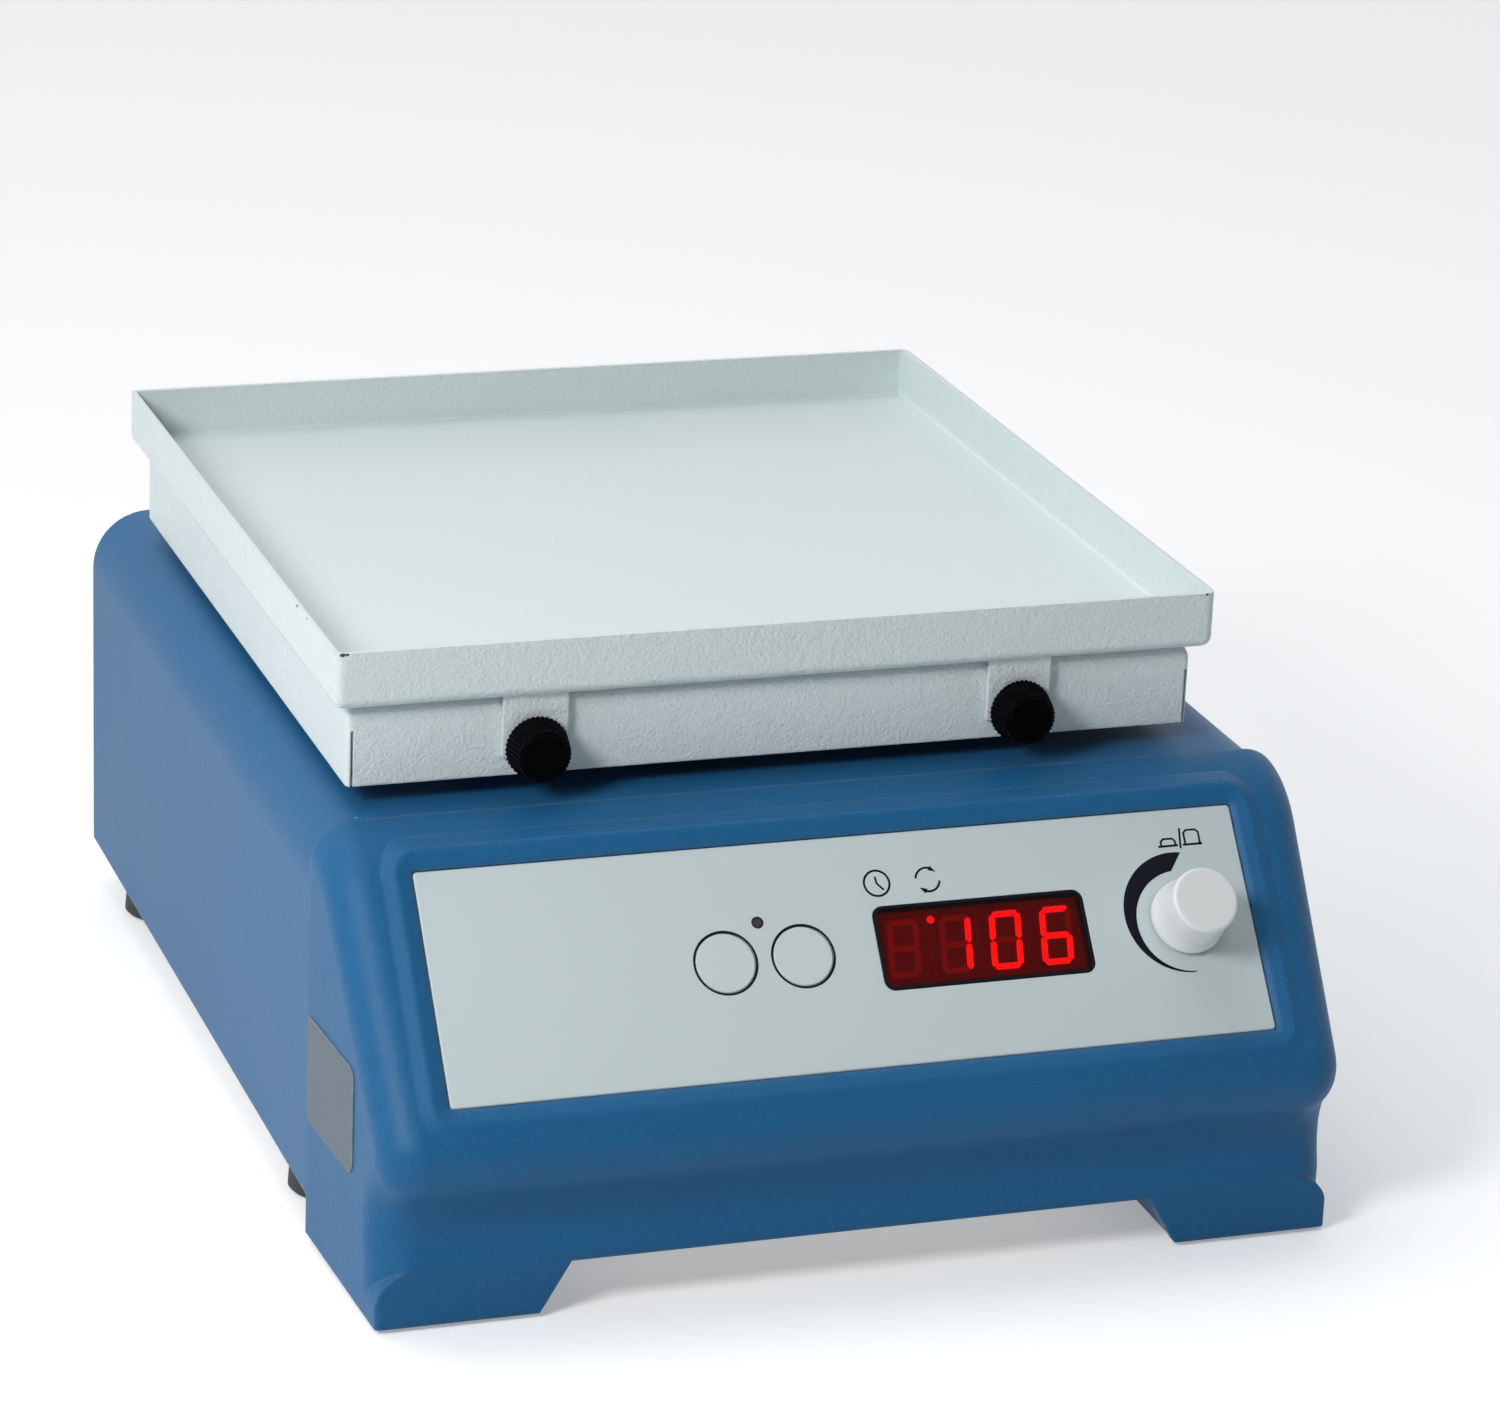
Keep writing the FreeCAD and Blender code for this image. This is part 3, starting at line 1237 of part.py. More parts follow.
def idler_bearings():
    top = CHASSIS_TOP + IDLER_FLANGE_THICKNESS
    lows = (top - IDLER_HOUSING_LENGTH, top - IDLER_BEARING_WIDTH)
    bore = IDLER_SHAFT_RADIUS + RUNNING_PLAY
    return [
        ball_bearing(x, y, IDLER_BEARING_RADIUS, bore, z, IDLER_BEARING_WIDTH)
        for x, y in IDLER_PLACES
        for z in lows
    ]


# Crank, idlers and their pins


def crank_pin_top():
    return HOLDER_BOTTOM + BEARING_SEAT + CARRIAGE_BEARING_WIDTH + 2.5


def idler_pin_top():
    return HOLDER_BOTTOM + BEARING_SEAT + IDLER_BEARING_WIDTH + 2.0


def crankshaft():
    """Shaft with hub and web, and the eccentric pin that carries the carriage."""
    seat = PULLEY_BOTTOM + PULLEY_WIDTH
    top = CHASSIS_TOP + CRANK_FLANGE_THICKNESS + 0.4
    section = [
        (0, PULLEY_BOTTOM),
        (CRANK_SEAT_RADIUS, PULLEY_BOTTOM),
        (CRANK_SEAT_RADIUS, seat),
        (CRANK_SHAFT_RADIUS, seat),
        (CRANK_SHAFT_RADIUS, top),
        (CRANK_HUB_RADIUS, top),
        (CRANK_HUB_RADIUS, WEB_BOTTOM),
        (CRANK_WEB_RADIUS, WEB_BOTTOM),
        (CRANK_WEB_RADIUS, WEB_TOP - 0.8),
        (CRANK_WEB_RADIUS - 0.8, WEB_TOP),
        (0, WEB_TOP),
    ]
    shaft = turned(section, 0, CRANK_Y)
    r = CRANK_PIN_RADIUS
    end = crank_pin_top()
    pin = turned([(0, WEB_TOP), (r, WEB_TOP), (r, end - 0.8), (r - 0.8, end), (0, end)], PIN_DX, TRAY_Y)
    tap = rod(0, CRANK_Y, BOLT_RADIUS + RUNNING_PLAY, PULLEY_BOTTOM - 1, PULLEY_BOTTOM + 12)
    return fuse_all([shaft, pin]).cut(tap)


def counterweight():
    """Steel sector opposite the pin, clamped under the web."""
    low = WEB_BOTTOM - WEIGHT_PLATE
    facing = REST_ANGLE - 180
    start = facing - WEIGHT_ARC / 2
    sector = Part.makeCylinder(WEIGHT_RADIUS, WEIGHT_THICKNESS, V(0, 0, low), UP, WEIGHT_ARC)
    sector.rotate(V(0, 0, 0), UP, start)
    sector.translate(V(0, CRANK_Y, 0))
    recess = rod(0, CRANK_Y, CRANK_WEB_RADIUS + SCREW_PLAY, WEB_BOTTOM, WEB_TOP + 1)
    plate = rod(0, CRANK_Y, WEIGHT_CLAMP_RADIUS, low, WEB_BOTTOM)
    bore = rod(0, CRANK_Y, CRANK_HUB_RADIUS, low - 1, WEB_TOP + 1)
    return fuse_all([sector.cut(recess), plate]).cut(bore)


def rib_middles():
    first = PULLEY_BOTTOM + PULLEY_WIDTH / 2 - RIB_PITCH * (RIB_COUNT - 1) / 2
    return [first + RIB_PITCH * i for i in range(RIB_COUNT)]


def grooved_edge(radius):
    """Outer edge of a ribbed pulley, from the bottom up, as (radius, z)."""
    points = []
    for z in rib_middles():
        points.append((radius, z - RIB_PITCH / 2))
        points.append((radius - GROOVE_DEPTH, z))
    points.append((radius, rib_middles()[-1] + RIB_PITCH / 2))
    return points


def driven_pulley():
    low = PULLEY_BOTTOM
    top = PULLEY_BOTTOM + PULLEY_WIDTH
    rim = DRIVEN_RADIUS - GROOVE_DEPTH - 2.4
    hub = CRANK_SEAT_RADIUS + 7
    web = 3.0
    middle = PULLEY_BOTTOM + PULLEY_WIDTH / 2
    section = [
        (CRANK_SEAT_RADIUS, low), (hub, low), (hub, middle - web / 2), (rim, middle - web / 2), (rim, low)
    ]
    section += [(DRIVEN_RADIUS, low)] + grooved_edge(DRIVEN_RADIUS) + [(DRIVEN_RADIUS, top), (rim, top)]
    section += [(rim, middle + web / 2), (hub, middle + web / 2), (hub, top), (CRANK_SEAT_RADIUS, top)]
    pulley = turned(section, 0, CRANK_Y)
    ring = (hub + rim) / 2
    holes = []
    for i in range(5):
        a = math.radians(72 * i)
        holes.append(
            rod(ring * math.cos(a), CRANK_Y + ring * math.sin(a), (rim - hub) * 0.36, low - 1, top + 1)
        )
    return pulley.cut(holes)


def pulley_bolt():
    washer = rod(0, CRANK_Y, CRANK_SEAT_RADIUS + 3, PULLEY_BOTTOM - 1.5, PULLEY_BOTTOM)
    bolt = screw(0, CRANK_Y, PULLEY_BOTTOM - 1.5, 11.0, BOLT_RADIUS, BOLT_HEAD_RADIUS, BOLT_HEAD_HEIGHT, True)
    return washer.fuse(bolt)


def idler_crank(x, y):
    """Idler crank with its retaining ring under the lower bearing."""
    foot = CHASSIS_TOP + IDLER_FLANGE_THICKNESS - IDLER_HOUSING_LENGTH
    shoulder = CHASSIS_TOP + IDLER_FLANGE_THICKNESS + 0.3
    r = IDLER_SHAFT_RADIUS
    web = IDLER_WEB_RADIUS
    web_low = IDLER_WEB_TOP - IDLER_WEB_THICKNESS
    neck = r + 1.5
    end = foot - 3
    section = [
        (0, end),
        (r, end),
        (r, shoulder),
        (neck, shoulder),
        (neck, web_low),
        (web, web_low),
        (web, IDLER_WEB_TOP - 0.6),
        (web - 0.6, IDLER_WEB_TOP),
        (0, IDLER_WEB_TOP),
    ]
    shaft = turned(section, x, y)
    top = idler_pin_top()
    pin = turned(
        [(0, IDLER_WEB_TOP), (r, IDLER_WEB_TOP), (r, top - 0.6), (r - 0.6, top), (0, top)],
        x + PIN_DX,
        y + PIN_DY,
    )
    ring = rod(x, y, r + 2.2, foot - 1.4, foot - 0.4).cut(rod(x, y, r, foot - 2, foot))
    return [fuse_all([shaft, pin]), ring]


# Motor and belt


def motor_top():
    return BASE_TOP + MOTOR_FLANGE_THICKNESS + MOTOR_HEIGHT


def motor_stator():
    half = MOTOR_FLANGE / 2
    flange_top = BASE_TOP + MOTOR_FLANGE_THICKNESS
    flange = round_plate(-half, half, MOTOR_Y - half, MOTOR_Y + half, 6.0, BASE_TOP, flange_top)
    top = motor_top()
    can = turned(
        [
            (0, flange_top),
            (MOTOR_RADIUS, flange_top),
            (MOTOR_RADIUS, top - 2),
            (MOTOR_RADIUS - 2, top),
            (9.0, top),
            (9.0, top + 1.2),
            (0, top + 1.2),
        ],
        0,
        MOTOR_Y,
    )
    whole = fuse_all([flange, can])
    cuts = [rod(0, MOTOR_Y, MOTOR_SHAFT_RADIUS + RUNNING_PLAY, BASE_TOP + 2, top + 2)]
    for x, y in motor_bolt_places():
        cuts.append(rod(x, y, BOLT_RADIUS + SCREW_PLAY, BASE_TOP - 1, flange_top + 1))
        cuts.append(rod(x, y, BOLT_HEAD_RADIUS + 1.0, flange_top, top + 1))
    return whole.cut(cuts)


def motor_bolts():
    seat = BASE_TOP + MOTOR_FLANGE_THICKNESS
    return [
        screw(x, y, seat, MOTOR_BOLT_LENGTH, BOLT_RADIUS, BOLT_HEAD_RADIUS, BOLT_HEAD_HEIGHT, False)
        for x, y in motor_bolt_places()
    ]


def motor_shaft():
    return rod(0, MOTOR_Y, MOTOR_SHAFT_RADIUS, BASE_TOP + 2 + RUNNING_PLAY, PULLEY_BOTTOM + PULLEY_WIDTH + 1)


def motor_pulley():
    low = PULLEY_BOTTOM
    top = PULLEY_BOTTOM + PULLEY_WIDTH
    flange = MOTOR_PULLEY_RADIUS + BELT_GAP + BELT_BACK
    grooves = grooved_edge(MOTOR_PULLEY_RADIUS)
    inner_low = grooves[0][1] - 0.8
    inner_top = grooves[-1][1] + 0.8
    section = [
        (MOTOR_SHAFT_RADIUS, low), (flange, low), (flange, inner_low), (MOTOR_PULLEY_RADIUS, inner_low)
    ]
    section += grooves
    section += [
        (MOTOR_PULLEY_RADIUS, inner_top), (flange, inner_top), (flange, top), (MOTOR_SHAFT_RADIUS, top)
    ]
    return turned(section, 0, MOTOR_Y)


def belt_section(radius):
    """Cross-section of the ribbed belt at a pulley, as a face in the XZ plane."""
    inner = radius + BELT_GAP
    middles = rib_middles()
    flank = RIB_PITCH / 2 / GROOVE_DEPTH
    half = RIB_PITCH / 2 - 0.09
    tip = half - BELT_RIB * flank
    points = [(inner + BELT_BACK, middles[0] - RIB_PITCH / 2), (inner, middles[0] - RIB_PITCH / 2)]
    for z in middles:
        points += [
            (inner, z - half), (inner - BELT_RIB, z - tip), (inner - BELT_RIB, z + tip), (inner, z + half)
        ]
    points += [(inner, middles[-1] + RIB_PITCH / 2), (inner + BELT_BACK, middles[-1] + RIB_PITCH / 2)]
    vectors = [V(r, 0, z) for r, z in points]
    return Part.Face(Part.makePolygon(vectors + [vectors[0]]))


def drive_belt():
    """Belt round both pulleys: two arcs joined by two straight runs."""
    lean = math.degrees(math.asin((DRIVEN_RADIUS - MOTOR_PULLEY_RADIUS) / PULLEY_SPACING))
    run = PULLEY_SPACING * math.cos(math.radians(lean))
    pieces = []
    for radius, y, start, sweep in (
        (DRIVEN_RADIUS, CRANK_Y, 180 - lean, 180 + 2 * lean),
        (MOTOR_PULLEY_RADIUS, MOTOR_Y, lean, 180 - 2 * lean),
    ):
        face = belt_section(radius)
        face.rotate(V(0, 0, 0), UP, start)
        arc = face.revolve(V(0, 0, 0), UP, sweep)
        arc.translate(V(0, y, 0))
        pieces.append(arc)
    for angle in (lean, 180 - lean):
        face = belt_section(DRIVEN_RADIUS)
        face.rotate(V(0, 0, 0), UP, angle)
        face.translate(V(0, CRANK_Y, 0))
        turn = math.radians(angle + (90 if angle < 90 else -90))
        pieces.append(face.extrude(V(run * math.cos(turn), run * math.sin(turn), 0)))
    return fuse_all(pieces)


# Carriage, tray and thumb screws


def level_edges(shape, z):
    return [e for e in shape.Edges if abs(e.BoundBox.ZMin - z) < 1e-6 and abs(e.BoundBox.ZMax - z) < 1e-6]


def sheet_pan(half, low, high, sheet, corner, bend, opens_up):
    """Folded sheet pan round the tray's centre, open above or below."""
    outer = box(TRAY_X - half, TRAY_X + half, TRAY_Y - half, TRAY_Y + half, low, high)
    upright = [e for e in outer.Edges if e.BoundBox.ZLength > high - low - 1e-6]
    outer = outer.makeFillet(corner, upright)
    floor_z = low if opens_up else high
    bent = level_edges(outer, floor_z)
    outer = outer.makeFillet(bend, bent)
    z0 = low + sheet if opens_up else low - 1
    z1 = high + 1 if opens_up else high - sheet
    inner_half = half - sheet
    inner = box(TRAY_X - inner_half, TRAY_X + inner_half, TRAY_Y - inner_half, TRAY_Y + inner_half, z0, z1)
    upright = [e for e in inner.Edges if e.BoundBox.ZLength > z1 - z0 - 1e-6]
    inner = inner.makeFillet(max(corner - sheet, 0.4), upright)
    inner_z = z0 if opens_up else z1
    bent = level_edges(inner, inner_z)
    return outer.cut(inner.makeFillet(bend - sheet, bent))


def screw_places():
    return [("left", TRAY_X - TAB_X), ("right", TRAY_X + TAB_X)]


def platform_tray():
    half = TRAY_SIZE / 2
    pan = sheet_pan(half, TRAY_BOTTOM, TRAY_TOP, TRAY_SHEET, TRAY_CORNER, TRAY_BEND, True)
    tabs = []
    slot = THUMB_SHANK_RADIUS + THUMB_SLOT_PLAY
    for _, x in screw_places():
        low = TRAY_BOTTOM - TAB_LENGTH
        tab = box(x - TAB_WIDTH / 2, x + TAB_WIDTH / 2, TAB_FACE, TAB_BACK, low, TRAY_BOTTOM + TRAY_SHEET / 2)
        mouth = box(x - slot, x + slot, TAB_FACE - 1, TAB_BACK + 1, low - 1, THUMB_Z)
        tabs.append(tab.cut([mouth, rod_y(x, THUMB_Z, slot, TAB_FACE - 1, TAB_BACK + 1)]))
    return fuse_all([pan] + tabs)


def corner_slits():
    """Open corners of the carriage's skirt; the right ones lie nearer the outer face."""
    cuts = []
    top = CARRIAGE_TOP - SLIT_TOP
    for side, edge in ((-1, SLIT_LEFT), (1, SLIT_RIGHT)):
        outer = TRAY_X + side * (CARRIAGE_HALF - edge)
        inner = outer - side * CORNER_SLIT
        for facing in (-1, 1):
            y0 = TRAY_Y + facing * (CARRIAGE_HALF - CARRIAGE_SHEET)
            y1 = TRAY_Y + facing * (CARRIAGE_HALF + 1)
            low = CARRIAGE_BOTTOM - 1
            cuts.append(box(min(outer, inner), max(outer, inner), min(y0, y1), max(y0, y1), low, top))
    return cuts


def holder_places():
    """Centre of each bearing holder, its bearing radius, width and pivot radius."""
    drive = (PIN_DX, TRAY_Y, CARRIAGE_BEARING_RADIUS, CARRIAGE_BEARING_WIDTH, CRANK_PIN_RADIUS + RUNNING_PLAY)
    places = [drive]
    for x, y in IDLER_PLACES:
        bore = IDLER_SHAFT_RADIUS + PIVOT_PLAY
        places.append((x + PIN_DX, y + PIN_DY, IDLER_BEARING_RADIUS, IDLER_BEARING_WIDTH, bore))
    return places


def holder_screw_places():
    places = []
    for x, y, bearing, _, _ in holder_places():
        r = bearing + HOLDER_WALL + HOLDER_FLANGE / 2
        for i in range(3):
            a = math.radians(90 + 120 * i)
            places.append((x + r * math.cos(a), y + r * math.sin(a)))
    return places


def countersink(x, y, play):
    """Countersunk screw form, flush with the carriage's top."""
    r = SCREW_RADIUS + play
    head = r + CARRIAGE_SHEET
    low = HOLDER_TOP - HOLDER_FLANGE_THICKNESS
    return turned(
        [(0, low), (r, low), (r, CARRIAGE_TOP - CARRIAGE_SHEET), (head, CARRIAGE_TOP), (0, CARRIAGE_TOP)],
        x,
        y,
    )


def carriage():
    pan = sheet_pan(
        CARRIAGE_HALF, CARRIAGE_BOTTOM, CARRIAGE_TOP, CARRIAGE_SHEET, TRAY_CORNER / 2, CARRIAGE_BEND, False
    )
    cuts = corner_slits()
    for _, x in screw_places():
        cuts.append(
            rod_y(x, THUMB_Z, THUMB_SHANK_RADIUS + PIVOT_PLAY, CARRIAGE_FRONT - 1, CARRIAGE_FRONT + 3)
        )
    cuts += [countersink(x, y, RUNNING_PLAY) for x, y in holder_screw_places()]
    return pan.cut(cuts)


def weld_nuts():
    nuts = []
    start = CARRIAGE_FRONT + CARRIAGE_SHEET
    for _, x in screw_places():
        nut = rod_y(x, THUMB_Z, NUT_RADIUS, start, start + NUT_LENGTH)
        nuts.append(
            nut.cut(rod_y(x, THUMB_Z, THUMB_SHANK_RADIUS + RUNNING_PLAY, start - 1, start + NUT_LENGTH + 1))
        )
    return nuts


def bearing_holders():
    """Flanged cups that hang under the carriage's plate and hold its bearings."""
    flange_low = HOLDER_TOP - HOLDER_FLANGE_THICKNESS
    holders = []
    cuts = [
        rod(x, y, SCREW_RADIUS + RUNNING_PLAY, flange_low - 1, HOLDER_TOP + 1)
        for x, y in holder_screw_places()
    ]
    for x, y, bearing, width, _ in holder_places():
        barrel = bearing + HOLDER_WALL
        flange = barrel + HOLDER_FLANGE
        seat = HOLDER_BOTTOM + BEARING_SEAT + width
        section = [
            (0, HOLDER_TOP),
            (flange - HOLDER_CHAMFER, HOLDER_TOP),
            (flange, HOLDER_TOP - HOLDER_CHAMFER),
            (flange, flange_low),
            (barrel, flange_low),
            (barrel, HOLDER_BOTTOM),
            (bearing, HOLDER_BOTTOM),
            (bearing, seat),
            (bearing - 3, seat),
            (bearing - 3, HOLDER_TOP - 2),
            (0, HOLDER_TOP - 2),
        ]
        holders.append(turned(section, x, y).cut(cuts))
    return holders


def carriage_bearings():
    low = HOLDER_BOTTOM + BEARING_SEAT
    return [ball_bearing(x, y, bearing, bore, low, width) for x, y, bearing, width, bore in holder_places()]


def carriage_screws():
    return [countersink(x, y, 0) for x, y in holder_screw_places()]


def thumb_washer(x):
    ring = rod_y(x, THUMB_Z, WASHER_RADIUS, WASHER_FACE, WASHER_BACK)
    return ring.cut(rod_y(x, THUMB_Z, THUMB_SHANK_RADIUS + RUNNING_PLAY, WASHER_FACE - 1, WASHER_BACK + 1))


def knurl_ring(x, y, radius):
    """Wire of the knurled outline at one end of the thumb screw's head."""
    points = []
    for i in range(2 * THUMB_TEETH):
        r = radius if i % 2 == 0 else radius - THUMB_TOOTH
        a = math.pi * i / THUMB_TEETH
        points.append(V(x + r * math.cos(a), y, THUMB_Z + r * math.sin(a)))
    return Part.makePolygon(points + [points[0]])


def thumb_screw(x):
    """Tapering head with a straight knurl, a turned face and a plain shank."""
    face_y = THUMB_BACK - THUMB_LENGTH
    head = Part.makeLoft(
        [knurl_ring(x, THUMB_BACK, THUMB_REAR_RADIUS), knurl_ring(x, face_y + 0.8, THUMB_FRONT_RADIUS + 0.2)],
        True,
        True,
    )
    face = Part.makeCone(
        THUMB_FRONT_RADIUS - 0.8, THUMB_FRONT_RADIUS - 0.2, 0.8, V(x, face_y, THUMB_Z), V(0, 1, 0)
    )
    end = CARRIAGE_FRONT + CARRIAGE_SHEET + NUT_LENGTH + 1
    shank = rod_y(x, THUMB_Z, THUMB_SHANK_RADIUS, THUMB_BACK - 1, end)
    return fuse_all([head, face, shank])


# Mains inlet


def inlet_face():
    return Y_REAR + INLET_PROUD


def mains_inlet():
    """Panel inlet with a socket for a lead's connector below and a fuse drawer's slot above."""
    w = INLET_WIDTH / 2
    h = INLET_HEIGHT / 2
    face = inlet_face()
    flange = box(INLET_X - w, INLET_X + w, Y_REAR, face, INLET_Z - h, INLET_Z + h)
    upright = [e for e in flange.Edges if e.BoundBox.YLength > INLET_PROUD - 1e-6]
    flange = flange.makeFillet(3.0, upright)
    bw = w - INLET_LIP
    bh = h - INLET_LIP
    body = box(INLET_X - bw, INLET_X + bw, Y_REAR - INLET_BODY_DEPTH, Y_REAR, INLET_Z - bh, INLET_Z + bh)
    whole = fuse_all([flange, body])
    zc = INLET_Z - PLUG_DROP
    socket = box(
        INLET_X - PLUG_WIDTH / 2,
        INLET_X + PLUG_WIDTH / 2,
        face - PLUG_DEPTH,
        face + 1,
        zc - PLUG_HEIGHT / 2,
        zc + PLUG_HEIGHT / 2,
    )
    top_edges = [
        e
        for e in socket.Edges
        if e.BoundBox.YLength > PLUG_DEPTH and abs(e.CenterOfMass.z - zc - PLUG_HEIGHT / 2) < 1e-6
    ]
    socket = socket.makeChamfer(4.5, top_edges)
    zd = INLET_Z + DRAWER_RISE
    play = SLIDING_PLAY
    slot = box(
        INLET_X - DRAWER_WIDTH / 2 - play,
        INLET_X + DRAWER_WIDTH / 2 + play,
        face - DRAWER_LENGTH - play,
        face + 1,
        zd - DRAWER_HEIGHT / 2 - play,
        zd + DRAWER_HEIGHT / 2 + play,
    )
    return whole.cut([socket, slot])


def inlet_pins():
    """Two live pins side by side and the earth pin above them."""
    zc = INLET_Z - PLUG_DROP
    start = inlet_face() - PLUG_DEPTH
    end = start + PIN_LENGTH
    pins = []
    for x, z, w, h in (
        (INLET_X - PIN_SPREAD, zc - 2, PIN_NARROW, PIN_BROAD),
        (INLET_X + PIN_SPREAD, zc - 2, PIN_NARROW, PIN_BROAD),
        (INLET_X, zc + 2, PIN_NARROW, PIN_BROAD),
    ):
        pin = box(x - w / 2, x + w / 2, start, end, z - h / 2, z + h / 2)
        tip = [e for e in pin.Edges if abs(e.CenterOfMass.y - end) < 1e-6]
        pins.append(pin.makeChamfer(0.5, tip))
    return pins


def fuse_places():
    """Axis of each fuse in its drawer, as x and z."""
    z = INLET_Z + DRAWER_RISE - DRAWER_HEIGHT / 2 + DRAWER_WALL + FUSE_RADIUS
    return [(INLET_X + side * DRAWER_WIDTH / 4, z) for side in (-1, 1)]


def fuse_drawer():
    """Drawer with a trough for each fuse and a finger lip on its front."""
    face = inlet_face()
    zd = INLET_Z + DRAWER_RISE
    w = DRAWER_WIDTH / 2
    h = DRAWER_HEIGHT / 2
    drawer = box(INLET_X - w, INLET_X + w, face - DRAWER_LENGTH, face, zd - h, zd + h)
    start = face - DRAWER_LENGTH + DRAWER_WALL
    end = start + FUSE_LENGTH + 2 * FUSE_PLAY
    r = FUSE_RADIUS + FUSE_PLAY
    cuts = [box(INLET_X - w / 2, INLET_X + w / 2, face - 0.9, face + 1, zd + h - 2.6, zd + h + 1)]
    for x, z in fuse_places():
        cuts.append(rod_y(x, z, r, start, end))
        cuts.append(box(x - r, x + r, start, end, z, zd + h + 1))
    return drawer.cut(cuts)


def fuses():
    start = inlet_face() - DRAWER_LENGTH + DRAWER_WALL + FUSE_PLAY
    both = []
    for x, z in fuse_places():
        low = z - FUSE_PLAY
        glass = rod_y(x, low, FUSE_RADIUS - 0.3, start + 5, start + FUSE_LENGTH - 5)
        caps = [rod_y(x, low, FUSE_RADIUS, start, start + 5)]
        caps.append(rod_y(x, low, FUSE_RADIUS, start + FUSE_LENGTH - 5, start + FUSE_LENGTH))
        both.append(glass.fuse(caps))
    return both


# Power board


def power_low():
    return BASE_TOP + POWER_LIFT


def power_board():
    w = POWER_WIDTH / 2
    h = POWER_LENGTH / 2
    low = power_low()
    board = box(POWER_X - w, POWER_X + w, POWER_Y - h, POWER_Y + h, low, low + BOARD_THICKNESS)
    holes = [rod(x, y, SCREW_RADIUS + SCREW_PLAY, low - 1, low + 3) for x, y in power_spacer_places()]
    return board.cut(holes)


def power_spacers():
    return [
        rod(x, y, 3.0, BASE_TOP, power_low()).cut(
            rod(x, y, SCREW_RADIUS + RUNNING_PLAY, BASE_TOP - 1, power_low() + 1)
        )
        for x, y in power_spacer_places()
    ]


def power_screws():
    seat = power_low() + BOARD_THICKNESS
    length = seat - BASE_BOTTOM
    return [
        screw(x, y, seat, length, SCREW_RADIUS, SCREW_HEAD_RADIUS, SCREW_HEAD_HEIGHT, False)
        for x, y in power_spacer_places()
    ]


def power_transformer():
    """Laminated core with its winding bobbin."""
    low = power_low() + BOARD_THICKNESS
    y = POWER_Y + POWER_LENGTH * 0.2
    core = centred_block(POWER_X, y, CORE_WIDTH, CORE_DEPTH, low + CORE_LIFT, CORE_HEIGHT)
    winding_low = low + CORE_LIFT + (CORE_HEIGHT - WINDING_HEIGHT) / 2
    winding = centred_block(POWER_X, y, WINDING_WIDTH, WINDING_DEPTH, winding_low, WINDING_HEIGHT)
    edges = [e for e in winding.Edges if e.BoundBox.ZLength > WINDING_HEIGHT - 1e-6]
    winding = winding.makeFillet(WINDING_CORNER, edges)
    foot = centred_block(POWER_X, y, CORE_WIDTH * 0.8, WINDING_DEPTH * 0.85, low, CORE_LIFT)
    neck = centred_block(
        POWER_X, y, WINDING_WIDTH, WINDING_DEPTH * 0.7, low + CORE_LIFT, winding_low - low - CORE_LIFT
    )
    return fuse_all([core, winding, foot, neck])


def centred_block(x, y, width, depth, low, height):
    return box(x - width / 2, x + width / 2, y - depth / 2, y + depth / 2, low, low + height)


def power_capacitors():
    low = power_low() + BOARD_THICKNESS
    y = POWER_Y - POWER_LENGTH * 0.1
    first = POWER_X - CAN_SPACING * 0.7
    cans = []
    for x, r, h in (
        (first, CAN_RADIUS, CAN_HEIGHT), (first + CAN_SPACING, SMALL_CAN_RADIUS, SMALL_CAN_HEIGHT)
    ):
        can = rod(x, y, r, low, low + h)
        rim = [e for e in can.Edges if abs(e.CenterOfMass.z - low - h) < 1e-6]
        cans.append(can.makeChamfer(CAN_CHAMFER, rim[:1]))
    return cans


def heat_sink():
    """Finned bar at the front end of the power board."""
    low = power_low() + BOARD_THICKNESS
    y = POWER_Y - POWER_LENGTH * 0.32
    half = SINK_WIDTH / 2
    base = box(POWER_X - half, POWER_X + half, y - SINK_BASE, y, low, low + SINK_HEIGHT)
    fins = []
    for i in range(SINK_FINS):
        x = POWER_X - half + SINK_FIN / 2 + (SINK_WIDTH - SINK_FIN) * i / (SINK_FINS - 1)
        fins.append(
            box(
                x - SINK_FIN / 2,
                x + SINK_FIN / 2,
                y - SINK_BASE - SINK_DEPTH,
                y - SINK_BASE,
                low + SINK_BASE,
                low + SINK_HEIGHT,
            )
        )
    return fuse_all([base] + fins)


